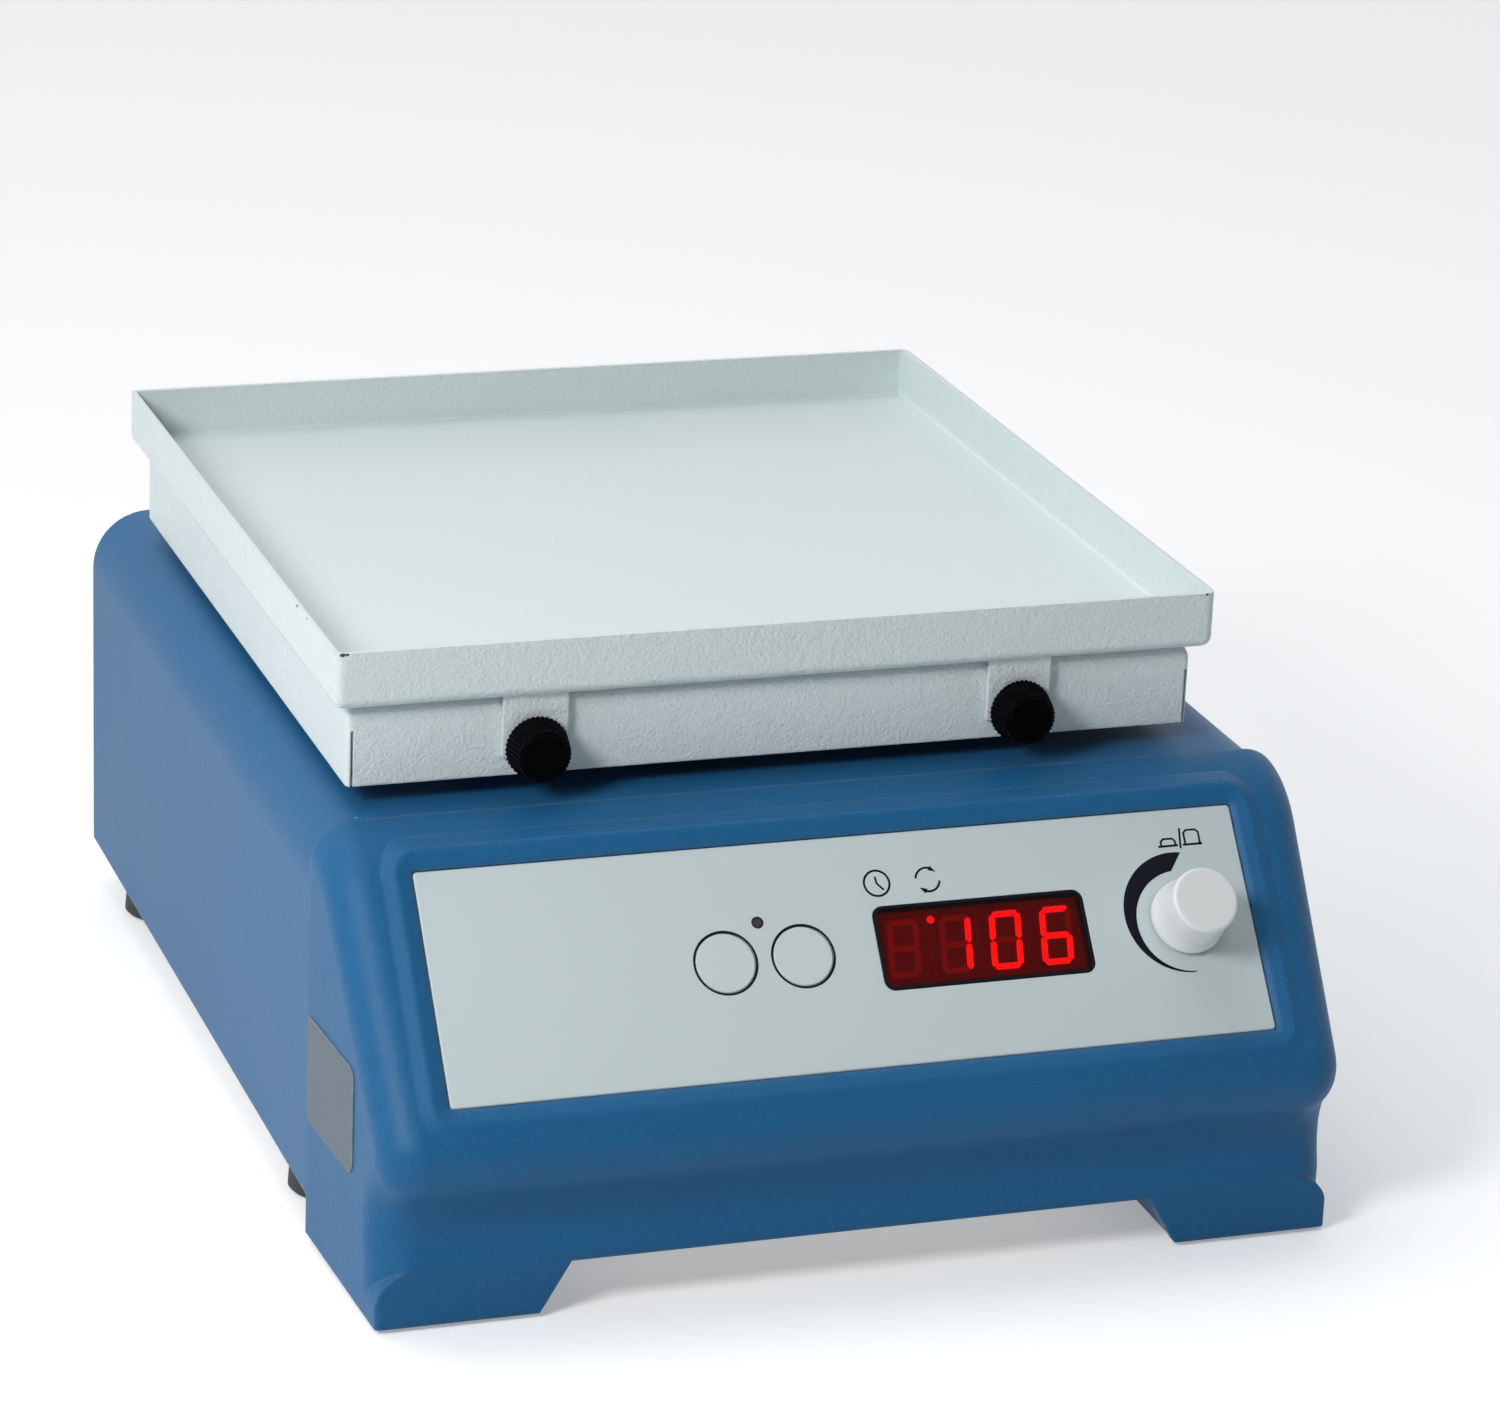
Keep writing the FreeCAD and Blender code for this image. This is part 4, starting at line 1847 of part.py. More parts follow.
NODES = {
    "rear_cover": rear_cover,
    "front_moulding": front_moulding,
    "front_panel": front_panel,
    "display_lens": display_lens,
    "display_module": display_module,
    "indicator_lamp": indicator_lamp,
    "start_stop_key": lambda: membrane_key(START_KEY_X),
    "mode_key": lambda: membrane_key(MODE_KEY_X),
    "key_switches": key_switches,
    "control_board": control_board,
    "board_screws": board_screws,
    "control_switch": control_switch,
    "switch_slider": switch_slider,
    "knob_spindle": knob_spindle,
    "control_knob": control_knob,
    "base_plate": base_plate,
    "rubber_feet": rubber_feet,
    "foot_bolts": foot_bolts,
    "cover_screws": cover_screws,
    "chassis_plate": chassis_plate,
    "chassis_pillars": chassis_pillars,
    "chassis_bolts": chassis_bolts,
    "crank_housing": crank_housing,
    "crank_bearings": crank_bearings,
    "idler_housings": idler_housings,
    "idler_bearings": idler_bearings,
    "crankshaft": crankshaft,
    "counterweight": counterweight,
    "driven_pulley": driven_pulley,
    "pulley_bolt": pulley_bolt,
    "motor_stator": motor_stator,
    "motor_bolts": motor_bolts,
    "motor_shaft": motor_shaft,
    "motor_pulley": motor_pulley,
    "drive_belt": drive_belt,
    "carriage": carriage,
    "weld_nuts": weld_nuts,
    "bearing_holders": bearing_holders,
    "carriage_bearings": carriage_bearings,
    "carriage_screws": carriage_screws,
    "platform_tray": platform_tray,
    "mains_inlet": mains_inlet,
    "inlet_pins": inlet_pins,
    "fuse_drawer": fuse_drawer,
    "fuses": fuses,
    "power_board": power_board,
    "power_spacers": power_spacers,
    "power_screws": power_screws,
    "power_transformer": power_transformer,
    "power_capacitors": power_capacitors,
    "heat_sink": heat_sink,
}

for node, make in NODES.items():
    save(node, make())
for number, (idler_x, idler_y) in enumerate(IDLER_PLACES, 1):
    save("idler_crank_" + str(number), idler_crank(idler_x, idler_y))
for hand, screw_x in screw_places():
    save("thumb_screw_" + hand, thumb_screw(screw_x))
    save("thumb_washer_" + hand, thumb_washer(screw_x))
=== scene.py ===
import bmesh
import bpy
import json
import math
from mathutils import Euler, Matrix, Vector


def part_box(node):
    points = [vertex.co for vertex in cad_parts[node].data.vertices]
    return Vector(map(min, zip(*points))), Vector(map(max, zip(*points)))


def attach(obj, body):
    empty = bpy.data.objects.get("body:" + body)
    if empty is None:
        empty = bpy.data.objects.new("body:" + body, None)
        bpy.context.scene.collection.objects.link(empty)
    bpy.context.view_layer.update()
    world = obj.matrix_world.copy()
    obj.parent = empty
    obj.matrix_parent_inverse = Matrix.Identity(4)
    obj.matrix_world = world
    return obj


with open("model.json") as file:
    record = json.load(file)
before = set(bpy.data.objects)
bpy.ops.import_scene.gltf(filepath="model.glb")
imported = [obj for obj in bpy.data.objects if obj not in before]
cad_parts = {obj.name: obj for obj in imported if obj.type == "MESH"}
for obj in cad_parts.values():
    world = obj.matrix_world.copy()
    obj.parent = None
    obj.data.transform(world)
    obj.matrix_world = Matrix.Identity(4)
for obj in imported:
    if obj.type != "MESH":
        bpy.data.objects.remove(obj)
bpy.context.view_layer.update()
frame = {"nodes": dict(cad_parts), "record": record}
scene = bpy.context.scene
MM = 0.001

# Panel frame: x to the right, y down the panel from its upper edge, z out of its face, in millimetres
PANEL_TILT = 50.3
PANEL_TURN = Matrix.Rotation(math.radians(PANEL_TILT), 4, "X") @ Matrix.Diagonal((MM, -MM, MM, 1.0))


def corners(node, place):
    """Lowest and highest corner of a CAD piece, measured in the frame that place stands for."""
    inward = place.inverted()
    points = [inward @ v.co for v in frame["nodes"][node].data.vertices]
    low = Vector([min(p[i] for p in points) for i in range(3)])
    high = Vector([max(p[i] for p in points) for i in range(3)])
    return low, high


panel_low, panel_high = corners("front_panel", PANEL_TURN)
PANEL = Matrix.Translation(PANEL_TURN @ Vector((0, panel_low.y, panel_high.z))) @ PANEL_TURN


def middle(node):
    """Centre of a CAD piece on the panel."""
    low, high = corners(node, PANEL)
    return (low.x + high.x) / 2, (low.y + high.y) / 2


# Camera: place in metres, turn about x, y and z in degrees, lens and sensor in millimetres
CAMERA_PLACE = (-0.40888, -1.21570, 0.54853)
CAMERA_TURN = (70.495, -2.242, -18.498)
LENS = 128.46
SENSOR_WIDTH = 36.0

# Room: its tint, the direction of its bright side, and its strength away from and towards that side
ROOM_TINT = (0.95, 0.97, 1.0, 1.0)
BRIGHT_SIDE = (-0.20, 0.94, 0.28)
DIM_STRENGTH = 0.06
BRIGHT_STRENGTH = 0.88

# Floor, in metres
FLOOR_REACH = 8.0
FLOOR_BELOW = 0.0002
FLOOR_COLOUR = (0.86, 0.87, 0.88, 1.0)
FLOOR_ROUGHNESS = 0.9
FLOOR_LIFT = 0.30
WHITE = (1.0, 1.0, 1.0, 1.0)


def look_from_the_front_left():
    data = bpy.data.cameras.new("view")
    data.lens = LENS
    data.sensor_width = SENSOR_WIDTH
    data.sensor_fit = "HORIZONTAL"
    data.clip_start = 0.01
    camera = bpy.data.objects.new("view", data)
    scene.collection.objects.link(camera)
    camera.location = CAMERA_PLACE
    camera.rotation_euler = Euler([math.radians(angle) for angle in CAMERA_TURN])
    scene.camera = camera


def soft_lamp(name, place, aim, size, power, colour):
    data = bpy.data.lights.new(name, "AREA")
    data.shape = "DISK"
    data.size = size
    data.energy = power
    data.color = colour
    lamp = bpy.data.objects.new(name, data)
    scene.collection.objects.link(lamp)
    lamp.location = place
    lamp.visible_camera = False
    lamp.rotation_euler = (Vector(aim) - Vector(place)).to_track_quat("-Z", "Y").to_euler()


def light_the_room():
    """A small warm lamp at the left, a wide one overhead, and a room that is bright behind the shaker."""
    soft_lamp("key", place=(-0.67, -0.53, 0.64), aim=(0, -0.03, 0.08), size=0.30, power=5.55,
              colour=(1.0, 0.99, 0.97))
    soft_lamp("top", place=(-0.3, 0.45, 1.7), aim=(0, 0, 0.1), size=1.2, power=6.6, colour=(1.0, 1.0, 1.0))
    world = bpy.data.worlds.new("room")
    scene.world = world
    world.use_nodes = True
    tree = world.node_tree
    room = tree.nodes["Background"]
    room.inputs["Color"].default_value = ROOM_TINT
    where = add(tree, "ShaderNodeTexCoord")
    toward = add(tree, "ShaderNodeVectorMath", {1: BRIGHT_SIDE}, operation="DOT_PRODUCT")
    tree.links.new(where.outputs["Generated"], toward.inputs[0])
    strength = remap(tree, toward.outputs["Value"], low=-0.5, high=0.9, to_low=DIM_STRENGTH,
                     to_high=BRIGHT_STRENGTH)
    tree.links.new(strength, room.inputs["Strength"])
    backdrop = add(tree, "ShaderNodeBackground", {"Color": WHITE})
    mix = add(tree, "ShaderNodeMixShader")
    tree.links.new(seen_or_mirrored(tree), mix.inputs["Fac"])
    tree.links.new(room.outputs["Background"], mix.inputs[1])
    tree.links.new(backdrop.outputs["Background"], mix.inputs[2])
    tree.links.new(mix.outputs["Shader"], tree.nodes["World Output"].inputs["Surface"])


def lay_floor():
    """A pale floor that is lifted towards white where it is seen, and keeps the shadow."""
    shape = bmesh.new()
    bmesh.ops.create_grid(shape, x_segments=1, y_segments=1, size=FLOOR_REACH)
    mesh = bpy.data.meshes.new("floor")
    shape.to_mesh(mesh)
    shape.free()
    piece = bpy.data.objects.new("floor", mesh)
    piece.location = (0, 0, -FLOOR_BELOW)
    scene.collection.objects.link(piece)
    material = bpy.data.materials.new("floor")
    material.use_nodes = True
    tree = material.node_tree
    shader = tree.nodes["Principled BSDF"]
    shader.inputs["Base Color"].default_value = FLOOR_COLOUR
    shader.inputs["Roughness"].default_value = FLOOR_ROUGHNESS
    shader.inputs["Emission Color"].default_value = WHITE
    lift = maths(tree, "MULTIPLY", seen_or_mirrored(tree), FLOOR_LIFT)
    tree.links.new(lift, shader.inputs["Emission Strength"])
    mesh.materials.append(material)


# Shader helpers

def add(tree, kind, values=None, **settings):
    """Adds a node, with values for its sockets and settings for the node itself."""
    made = tree.nodes.new(kind)
    for key, value in settings.items():
        setattr(made, key, value)
    for key, value in (values or {}).items():
        made.inputs[key].default_value = value
    return made


def feed(tree, socket, value):
    """Gives a socket a number or another node's output."""
    if isinstance(value, (int, float)):
        socket.default_value = value
    else:
        tree.links.new(value, socket)


def maths(tree, operation, first, second, clamp=False):
    made = add(tree, "ShaderNodeMath", operation=operation, use_clamp=clamp)
    feed(tree, made.inputs[0], first)
    feed(tree, made.inputs[1], second)
    return made.outputs[0]


def remap(tree, value, low, high, to_low=0.0, to_high=1.0):
    ends = {"From Min": low, "From Max": high, "To Min": to_low, "To Max": to_high}
    made = add(tree, "ShaderNodeMapRange", ends, clamp=True)
    tree.links.new(value, made.inputs["Value"])
    return made.outputs["Result"]


def seen_or_mirrored(tree):
    """1 for rays from the camera and for what shows in mirrored or see-through surfaces."""
    path = add(tree, "ShaderNodeLightPath")
    direct = maths(tree, "MAXIMUM", path.outputs["Is Camera Ray"], path.outputs["Is Glossy Ray"])
    return maths(tree, "MAXIMUM", direct, path.outputs["Is Transmission Ray"])


def blend_colour(tree, mask, first, second):
    """Goes from the first colour to the second as the mask rises."""
    made = add(tree, "ShaderNodeMix", data_type="RGBA")
    tree.links.new(mask, made.inputs["Factor"])
    for socket, colour in ((made.inputs["A"], first), (made.inputs["B"], second)):
        if isinstance(colour, tuple):
            socket.default_value = colour + (1.0,)
        else:
            tree.links.new(colour, socket)
    return made.outputs["Result"]


def new_group(name, inputs, outputs):
    group = bpy.data.node_groups.new(name, "ShaderNodeTree")
    for label, kind, default in inputs:
        socket = group.interface.new_socket(label, in_out="INPUT", socket_type="NodeSocket" + kind)
        if default is not None:
            socket.default_value = default
    for label, kind in outputs:
        group.interface.new_socket(label, in_out="OUTPUT", socket_type="NodeSocket" + kind)
    entry = group.nodes.new("NodeGroupInput")
    leave = group.nodes.new("NodeGroupOutput")
    return group, entry, leave


# Shader groups

COARSE_TO_FINE = 0.37
COARSE_SHARE = 0.6
GRAIN_MEAN = 0.8


def grain_group():
    """Fine uneven surface: a height for the bump, around GRAIN_MEAN, and a tone that varies slowly."""
    group, entry, leave = new_group(
        "surface_grain",
        [("Vector", "Vector", None), ("Scale", "Float", 1500.0), ("Broad", "Float", 18.0)],
        [("Height", "Float"), ("Tone", "Float")],
    )
    fine = add(group, "ShaderNodeTexNoise", {"Detail": 2.0, "Roughness": 0.55})
    coarse = add(group, "ShaderNodeTexNoise", {"Detail": 1.0, "Roughness": 0.4})
    slow = add(group, "ShaderNodeTexNoise", {"Detail": 3.0, "Roughness": 0.5})
    for texture in (fine, coarse, slow):
        group.links.new(entry.outputs["Vector"], texture.inputs["Vector"])
    group.links.new(entry.outputs["Scale"], fine.inputs["Scale"])
    group.links.new(maths(group, "MULTIPLY", entry.outputs["Scale"], COARSE_TO_FINE), coarse.inputs["Scale"])
    group.links.new(entry.outputs["Broad"], slow.inputs["Scale"])
    coarse_part = maths(group, "MULTIPLY", coarse.outputs["Fac"], COARSE_SHARE)
    group.links.new(maths(group, "ADD", fine.outputs["Fac"], coarse_part), leave.inputs["Height"])
    group.links.new(slow.outputs["Fac"], leave.inputs["Tone"])
    return group


def edge_group():
    """Mask of the edges for a painted highlight, broken up by noise, and the normal that rounds them."""
    group, entry, leave = new_group(
        "painted_edge_highlight",
        [("Vector", "Vector", None), ("Radius", "Float", 0.0005), ("Scale", "Float", 200.0),
         ("Amount", "Float", 0.5)],
        [("Mask", "Float"), ("Normal", "Vector")],
    )
    bevel = add(group, "ShaderNodeBevel", samples=4)
    group.links.new(entry.outputs["Radius"], bevel.inputs["Radius"])
    geometry = add(group, "ShaderNodeNewGeometry")
    likeness = add(group, "ShaderNodeVectorMath", operation="DOT_PRODUCT")
    group.links.new(bevel.outputs["Normal"], likeness.inputs[0])
    group.links.new(geometry.outputs["Normal"], likeness.inputs[1])
    bent = remap(group, likeness.outputs["Value"], low=0.995, high=0.90)
    noise = add(group, "ShaderNodeTexNoise", {"Detail": 2.0})
    group.links.new(entry.outputs["Vector"], noise.inputs["Vector"])
    group.links.new(entry.outputs["Scale"], noise.inputs["Scale"])
    patchy = remap(group, noise.outputs["Fac"], low=0.35, high=0.65, to_low=0.35)
    broken = maths(group, "MULTIPLY", bent, patchy)
    group.links.new(maths(group, "MULTIPLY", broken, entry.outputs["Amount"]), leave.inputs["Mask"])
    group.links.new(bevel.outputs["Normal"], leave.inputs["Normal"])
    return group


def speck_group():
    """Mask of small scattered specks: a share of the cells holds one, of a given size."""
    group, entry, leave = new_group(
        "specks",
        [("Vector", "Vector", None), ("Scale", "Float", 120.0), ("Size", "Float", 0.022),
         ("Share", "Float", 0.12)],
        [("Mask", "Float")],
    )
    cells = add(group, "ShaderNodeTexVoronoi", {"Randomness": 1.0})
    group.links.new(entry.outputs["Vector"], cells.inputs["Vector"])
    group.links.new(entry.outputs["Scale"], cells.inputs["Scale"])
    split = add(group, "ShaderNodeSeparateColor")
    group.links.new(cells.outputs["Color"], split.inputs["Color"])
    chosen = maths(group, "LESS_THAN", split.outputs["Red"], entry.outputs["Share"])
    near = maths(group, "LESS_THAN", cells.outputs["Distance"], entry.outputs["Size"])
    group.links.new(maths(group, "MULTIPLY", chosen, near), leave.inputs["Mask"])
    return group


def chip_group():
    """Mask of one chipped spot with a ragged outline at a given place."""
    group, entry, leave = new_group(
        "chipped_spot",
        [("Vector", "Vector", None), ("Centre", "Vector", (0, 0, 0)), ("Radius", "Float", 0.0005)],
        [("Mask", "Float")],
    )
    noise = add(group, "ShaderNodeTexNoise", {"Scale": 1800.0})
    group.links.new(entry.outputs["Vector"], noise.inputs["Vector"])
    distance = add(group, "ShaderNodeVectorMath", operation="DISTANCE")
    group.links.new(entry.outputs["Vector"], distance.inputs[0])
    group.links.new(entry.outputs["Centre"], distance.inputs[1])
    ragged = remap(group, noise.outputs["Fac"], low=0.3, high=0.7, to_low=0.7, to_high=1.6)
    uneven = maths(group, "MULTIPLY", distance.outputs["Value"], ragged)
    group.links.new(maths(group, "LESS_THAN", uneven, entry.outputs["Radius"]), leave.inputs["Mask"])
    return group


GRAIN = grain_group()
EDGE = edge_group()
SPECKS = speck_group()
CHIP = chip_group()


def place_group(tree, group, vector, values):
    made = add(tree, "ShaderNodeGroup")
    made.node_tree = group
    tree.links.new(vector, made.inputs["Vector"])
    for key, value in values.items():
        made.inputs[key].default_value = value
    return made


# Finishes

SMOOTHER = 0.05
ROUGHER = 0.06
# How much lighter the painted edge highlight is than a finish's light colour, where no edge colour is given
EDGE_GAIN = 1.35
EDGE_LIFT = 0.02
GLOW_LOW = 0.85


def start_material(name, stretch=(1, 1, 1)):
    material = bpy.data.materials.new(name)
    material.use_nodes = True
    tree = material.node_tree
    shader = tree.nodes["Principled BSDF"]
    where = add(tree, "ShaderNodeTexCoord")
    mapping = add(tree, "ShaderNodeMapping", {"Scale": stretch})
    tree.links.new(where.outputs["Object"], mapping.inputs["Vector"])
    return material, tree, shader, mapping.outputs["Vector"]


def relief_on_walls(tree, height, level_relief):
    """Full relief on upright faces, and only a share of it on level ones."""
    split = add(tree, "ShaderNodeSeparateXYZ")
    tree.links.new(tree.nodes["Texture Coordinate"].outputs["Normal"], split.inputs["Vector"])
    share = remap(tree, split.outputs["Z"], low=0.3, high=0.9, to_low=1.0, to_high=level_relief)
    return maths(tree, "MULTIPLY", height, share)


def surface(name, dark, light, rough, grain=1500.0, bump=0.00003, metal=0.0, stretch=(1, 1, 1), broad=18.0,
            edge=0.3, edge_colour=None, edge_radius=0.0004, mottle=0.3, speck=None, speck_share=0.1,
            speck_scale=150.0, level_relief=1.0):
    """A solid finish: two close colours, an uneven surface, edges lightened as a painted highlight, and
    specks.
    """
    material, tree, shader, vector = start_material(name, stretch)
    fine = place_group(tree, GRAIN, vector, {"Scale": grain, "Broad": broad})
    edge_light = place_group(tree, EDGE, vector, {"Radius": edge_radius, "Amount": edge})
    height = fine.outputs["Height"]
    grainy = maths(tree, "MULTIPLY", maths(tree, "SUBTRACT", height, GRAIN_MEAN), mottle)
    tone = maths(tree, "ADD", fine.outputs["Tone"], grainy, clamp=True)
    colour = blend_colour(tree, tone, dark, light)
    # The edges are blended towards a lighter colour: a painted highlight on the edges.
    lighter = edge_colour or tuple(min(1.0, c * EDGE_GAIN + EDGE_LIFT) for c in light)
    colour = blend_colour(tree, edge_light.outputs["Mask"], colour, lighter)
    if speck:
        dots = place_group(tree, SPECKS, vector, {"Share": speck_share, "Scale": speck_scale})
        colour = blend_colour(tree, dots.outputs["Mask"], colour, speck)
    tree.links.new(colour, shader.inputs["Base Color"])
    shader.inputs["Metallic"].default_value = metal
    roughness = remap(tree, fine.outputs["Tone"], low=0.0, high=1.0, to_low=rough - SMOOTHER,
                      to_high=rough + ROUGHER)
    tree.links.new(roughness, shader.inputs["Roughness"])
    if level_relief < 1.0:
        height = relief_on_walls(tree, height, level_relief)
    relief = add(tree, "ShaderNodeBump", {"Strength": 1.0, "Distance": bump})
    tree.links.new(height, relief.inputs["Height"])
    tree.links.new(edge_light.outputs["Normal"], relief.inputs["Normal"])
    tree.links.new(relief.outputs["Normal"], shader.inputs["Normal"])
    return material


def set_shader(material, **values):
    """Sets plain numbers on the shader; an underscore stands for a space in a socket's name."""
    shader = material.node_tree.nodes["Principled BSDF"]
    for key, value in values.items():
        shader.inputs[key.replace("_", " ")].default_value = value


def add_spots(material, spots, colour):
    """Small marks at given places, over the colour that the material already has."""
    tree = material.node_tree
    shader = tree.nodes["Principled BSDF"]
    vector = tree.nodes["Mapping"].outputs["Vector"]
    mask = None
    for x, y, z, size in spots:
        spot = place_group(tree, CHIP, vector, {"Centre": (x * MM, y * MM, z * MM), "Radius": size * MM})
        mask = spot.outputs["Mask"] if mask is None else maths(tree, "MAXIMUM", mask, spot.outputs["Mask"])
    below = shader.inputs["Base Color"].links[0].from_socket
    tree.links.new(blend_colour(tree, mask, below, colour), shader.inputs["Base Color"])


# Place and radius of each chip on the tray's rim and of each speck on the nose, in millimetres
RIM_CHIPS = [
    (-115.9, -52.7, 145.5, 0.6), (-116.0, -62.4, 145.5, 0.4), (-113.9, -88.9, 145.4, 0.7),
    (-112.8, -89.0, 145.4, 0.5), (104.6, -78.2, 145.5, 0.5), (104.3, -80.2, 145.5, 0.35),
    (104.6, -87.9, 145.5, 0.6), (101.6, -89.1, 145.5, 0.45), (103.3, -88.9, 132.8, 0.5),
]
NOSE_SPECKS = [
    (-111.6, -88.3, 105.6, 0.35), (-110.4, -90.0, 105.6, 0.25), (-62.0, -99.5, 104.8, 0.25),
    (48.0, -101.0, 104.4, 0.3),
]


def blue_moulding():
    """Blue structural foam with a satin, slightly mottled skin."""
    # edge and edge_colour paint a pale blue highlight along the edges and the rim's crest
    material = surface(
        "blue_moulding", dark=(0.004, 0.098, 0.244), light=(0.008, 0.114, 0.280), rough=0.50, grain=1700.0,
        bump=0.00008, edge=0.65, edge_colour=(0.085, 0.225, 0.40), edge_radius=0.0012, mottle=1.8,
        speck=(0.22, 0.36, 0.50), speck_scale=160.0,
    )
    set_shader(material, Specular_IOR_Level=0.27, Sheen_Weight=0.08, Sheen_Roughness=0.35)
    add_spots(material, NOSE_SPECKS, (0.62, 0.70, 0.74))
    return material


def powder_coat():
    """Pale grey textured powder coat, calmer on level faces, chipped here and there on the rim."""
    # edge and edge_colour paint a near-white highlight along the folded edges
    material = surface(
        "powder_coat", dark=(0.655, 0.740, 0.745), light=(0.705, 0.785, 0.785), rough=0.30, grain=1250.0,
        bump=0.00030, edge=0.50, edge_colour=(0.93, 0.96, 0.97), edge_radius=0.0007, broad=9.0,
        level_relief=0.2,
    )
    set_shader(material, Specular_IOR_Level=0.25)
    add_spots(material, RIM_CHIPS, (0.03, 0.035, 0.04))
    return material


def panel_foil():
    # edge and edge_colour paint a light highlight along the panel's edges
    return surface(
        "panel_foil", dark=(0.545, 0.633, 0.645), light=(0.575, 0.663, 0.675), rough=0.42, grain=3200.0,
        bump=0.000012, broad=7.0, edge=0.6, edge_colour=(0.80, 0.83, 0.84),
    )


def key_foil():
    return surface(
        "key_foil", dark=(0.560, 0.647, 0.659), light=(0.590, 0.677, 0.689), rough=0.40, grain=3000.0,
        bump=0.000012,
    )


def white_satin_plastic():
    # edge and edge_colour paint a near-white highlight on the edges, such as the knob's rim
    return surface(
        "white_satin_plastic", dark=(0.750, 0.780, 0.790), light=(0.790, 0.815, 0.825), rough=0.33,
        grain=3500.0, bump=0.000008, edge=0.5, edge_colour=(0.97, 0.98, 0.98), edge_radius=0.0005,
    )


def black_plastic():
    """Deep black plastic with a faint light on the edges of its ribs."""
    material = surface(
        "black_plastic", dark=(0.0006, 0.0007, 0.0010), light=(0.0012, 0.0014, 0.0020), rough=0.40,
        grain=1900.0, bump=0.00002, edge=0.9, edge_colour=(0.075, 0.080, 0.095),
        edge_radius=0.00009, broad=60.0,
    )
    set_shader(material, Specular_IOR_Level=0.01)
    return material


def black_rubber():
    return surface(
        "black_rubber", dark=(0.020, 0.022, 0.022), light=(0.045, 0.050, 0.048), rough=0.72, grain=700.0,
        bump=0.00012, edge=0.25, broad=120.0, speck=(0.13, 0.14, 0.13), speck_share=0.18, speck_scale=260.0,
    )


def see_through(name, dark, light, broad, transmission, smooth, dull):
    """Clear or tinted plastic or glass; the roughness varies from smooth to dull."""
    material, tree, shader, vector = start_material(name)
    fine = place_group(tree, GRAIN, vector, {"Scale": 900.0, "Broad": broad})
    tree.links.new(blend_colour(tree, fine.outputs["Tone"], dark, light), shader.inputs["Base Color"])
    roughness = remap(tree, fine.outputs["Tone"], low=0.0, high=1.0, to_low=smooth, to_high=dull)
    tree.links.new(roughness, shader.inputs["Roughness"])
    set_shader(material, Transmission_Weight=transmission)
    return material


def dark_red_window():
    material = see_through(
        "dark_red_window", dark=(0.62, 0.030, 0.030), light=(0.68, 0.036, 0.034), broad=40.0,
        transmission=1.0, smooth=0.03, dull=0.06,
    )
    set_shader(material, IOR=1.15)
    return material


def fuse_glass():
    return see_through(
        "fuse_glass", dark=(0.80, 0.85, 0.85), light=(0.90, 0.93, 0.93), broad=60.0, transmission=0.8,
        smooth=0.05, dull=0.12,
    )


def display_block():
    return surface(
        "display_block", dark=(0.10, 0.035, 0.030), light=(0.13, 0.045, 0.040), rough=0.5, grain=2500.0,
        bump=0.00001,
    )


def unlit_lamp():
    return surface(
        "unlit_lamp", dark=(0.012, 0.008, 0.010), light=(0.020, 0.010, 0.012), rough=0.22, grain=2000.0,
        bump=0.000004,
    )


def board_green():
    return surface(
        "board_green", dark=(0.010, 0.070, 0.030), light=(0.016, 0.095, 0.042), rough=0.30, grain=1300.0,
        bump=0.00001, broad=90.0, speck=(0.55, 0.50, 0.35), speck_share=0.35, speck_scale=220.0,
    )


def zinc_plated_steel():
    return surface(
        "zinc_plated_steel", dark=(0.50, 0.51, 0.52), light=(0.62, 0.63, 0.64), rough=0.34, grain=900.0,
        bump=0.00001, metal=1.0, broad=45.0, edge=0.4,
    )


def turned_steel():
    return surface(
        "turned_steel", dark=(0.42, 0.43, 0.45), light=(0.54, 0.55, 0.57), rough=0.24, grain=900.0,
        bump=0.000008, metal=1.0, stretch=(1, 1, 6), edge=0.4,
    )


def turned_alloy():
    return surface(
        "turned_alloy", dark=(0.60, 0.61, 0.62), light=(0.70, 0.71, 0.72), rough=0.38, grain=800.0,
        bump=0.00002, metal=1.0, stretch=(1, 1, 3),
    )


def nickelled_brass():
    return surface(
        "nickelled_brass", dark=(0.60, 0.56, 0.42), light=(0.70, 0.66, 0.50), rough=0.25,
        bump=0.000004, metal=1.0,
    )


def taped_winding():
    return surface(
        "taped_winding", dark=(0.42, 0.24, 0.03), light=(0.55, 0.33, 0.06), rough=0.45, grain=260.0,
        bump=0.0001, stretch=(0.2, 0.2, 5),
    )


def printing_ink():
    material = surface(
        "printing_ink", dark=(0.004, 0.005, 0.009), light=(0.007, 0.008, 0.014), rough=0.45, grain=2600.0,
        bump=0.000006, edge=0.0, broad=200.0,
    )
    set_shader(material, Specular_IOR_Level=0.08)
    return material


def silver_foil():
    # edge and edge_colour paint a pale highlight along the plate's rim
    return surface(
        "silver_foil", dark=(0.075, 0.105, 0.135), light=(0.088, 0.122, 0.155), rough=0.50, grain=2400.0,
        bump=0.00001, edge=0.6, edge_colour=(0.62, 0.66, 0.70), edge_radius=0.0003,
    )


def glowing(name, colour, strength):
    """A display bar that gives light of its own, a little uneven; on the unlit bars this faint light is a
    painted glow.
    """
    material, tree, shader, vector = start_material(name)
    fine = place_group(tree, GRAIN, vector, {"Scale": 1200.0, "Broad": 500.0})
    dimmer = tuple(c * GLOW_LOW for c in colour)
    tone = blend_colour(tree, fine.outputs["Tone"], dimmer, colour)
    tree.links.new(tone, shader.inputs["Base Color"])
    tree.links.new(tone, shader.inputs["Emission Color"])
    set_shader(material, Emission_Strength=strength, Roughness=0.5)
    return material


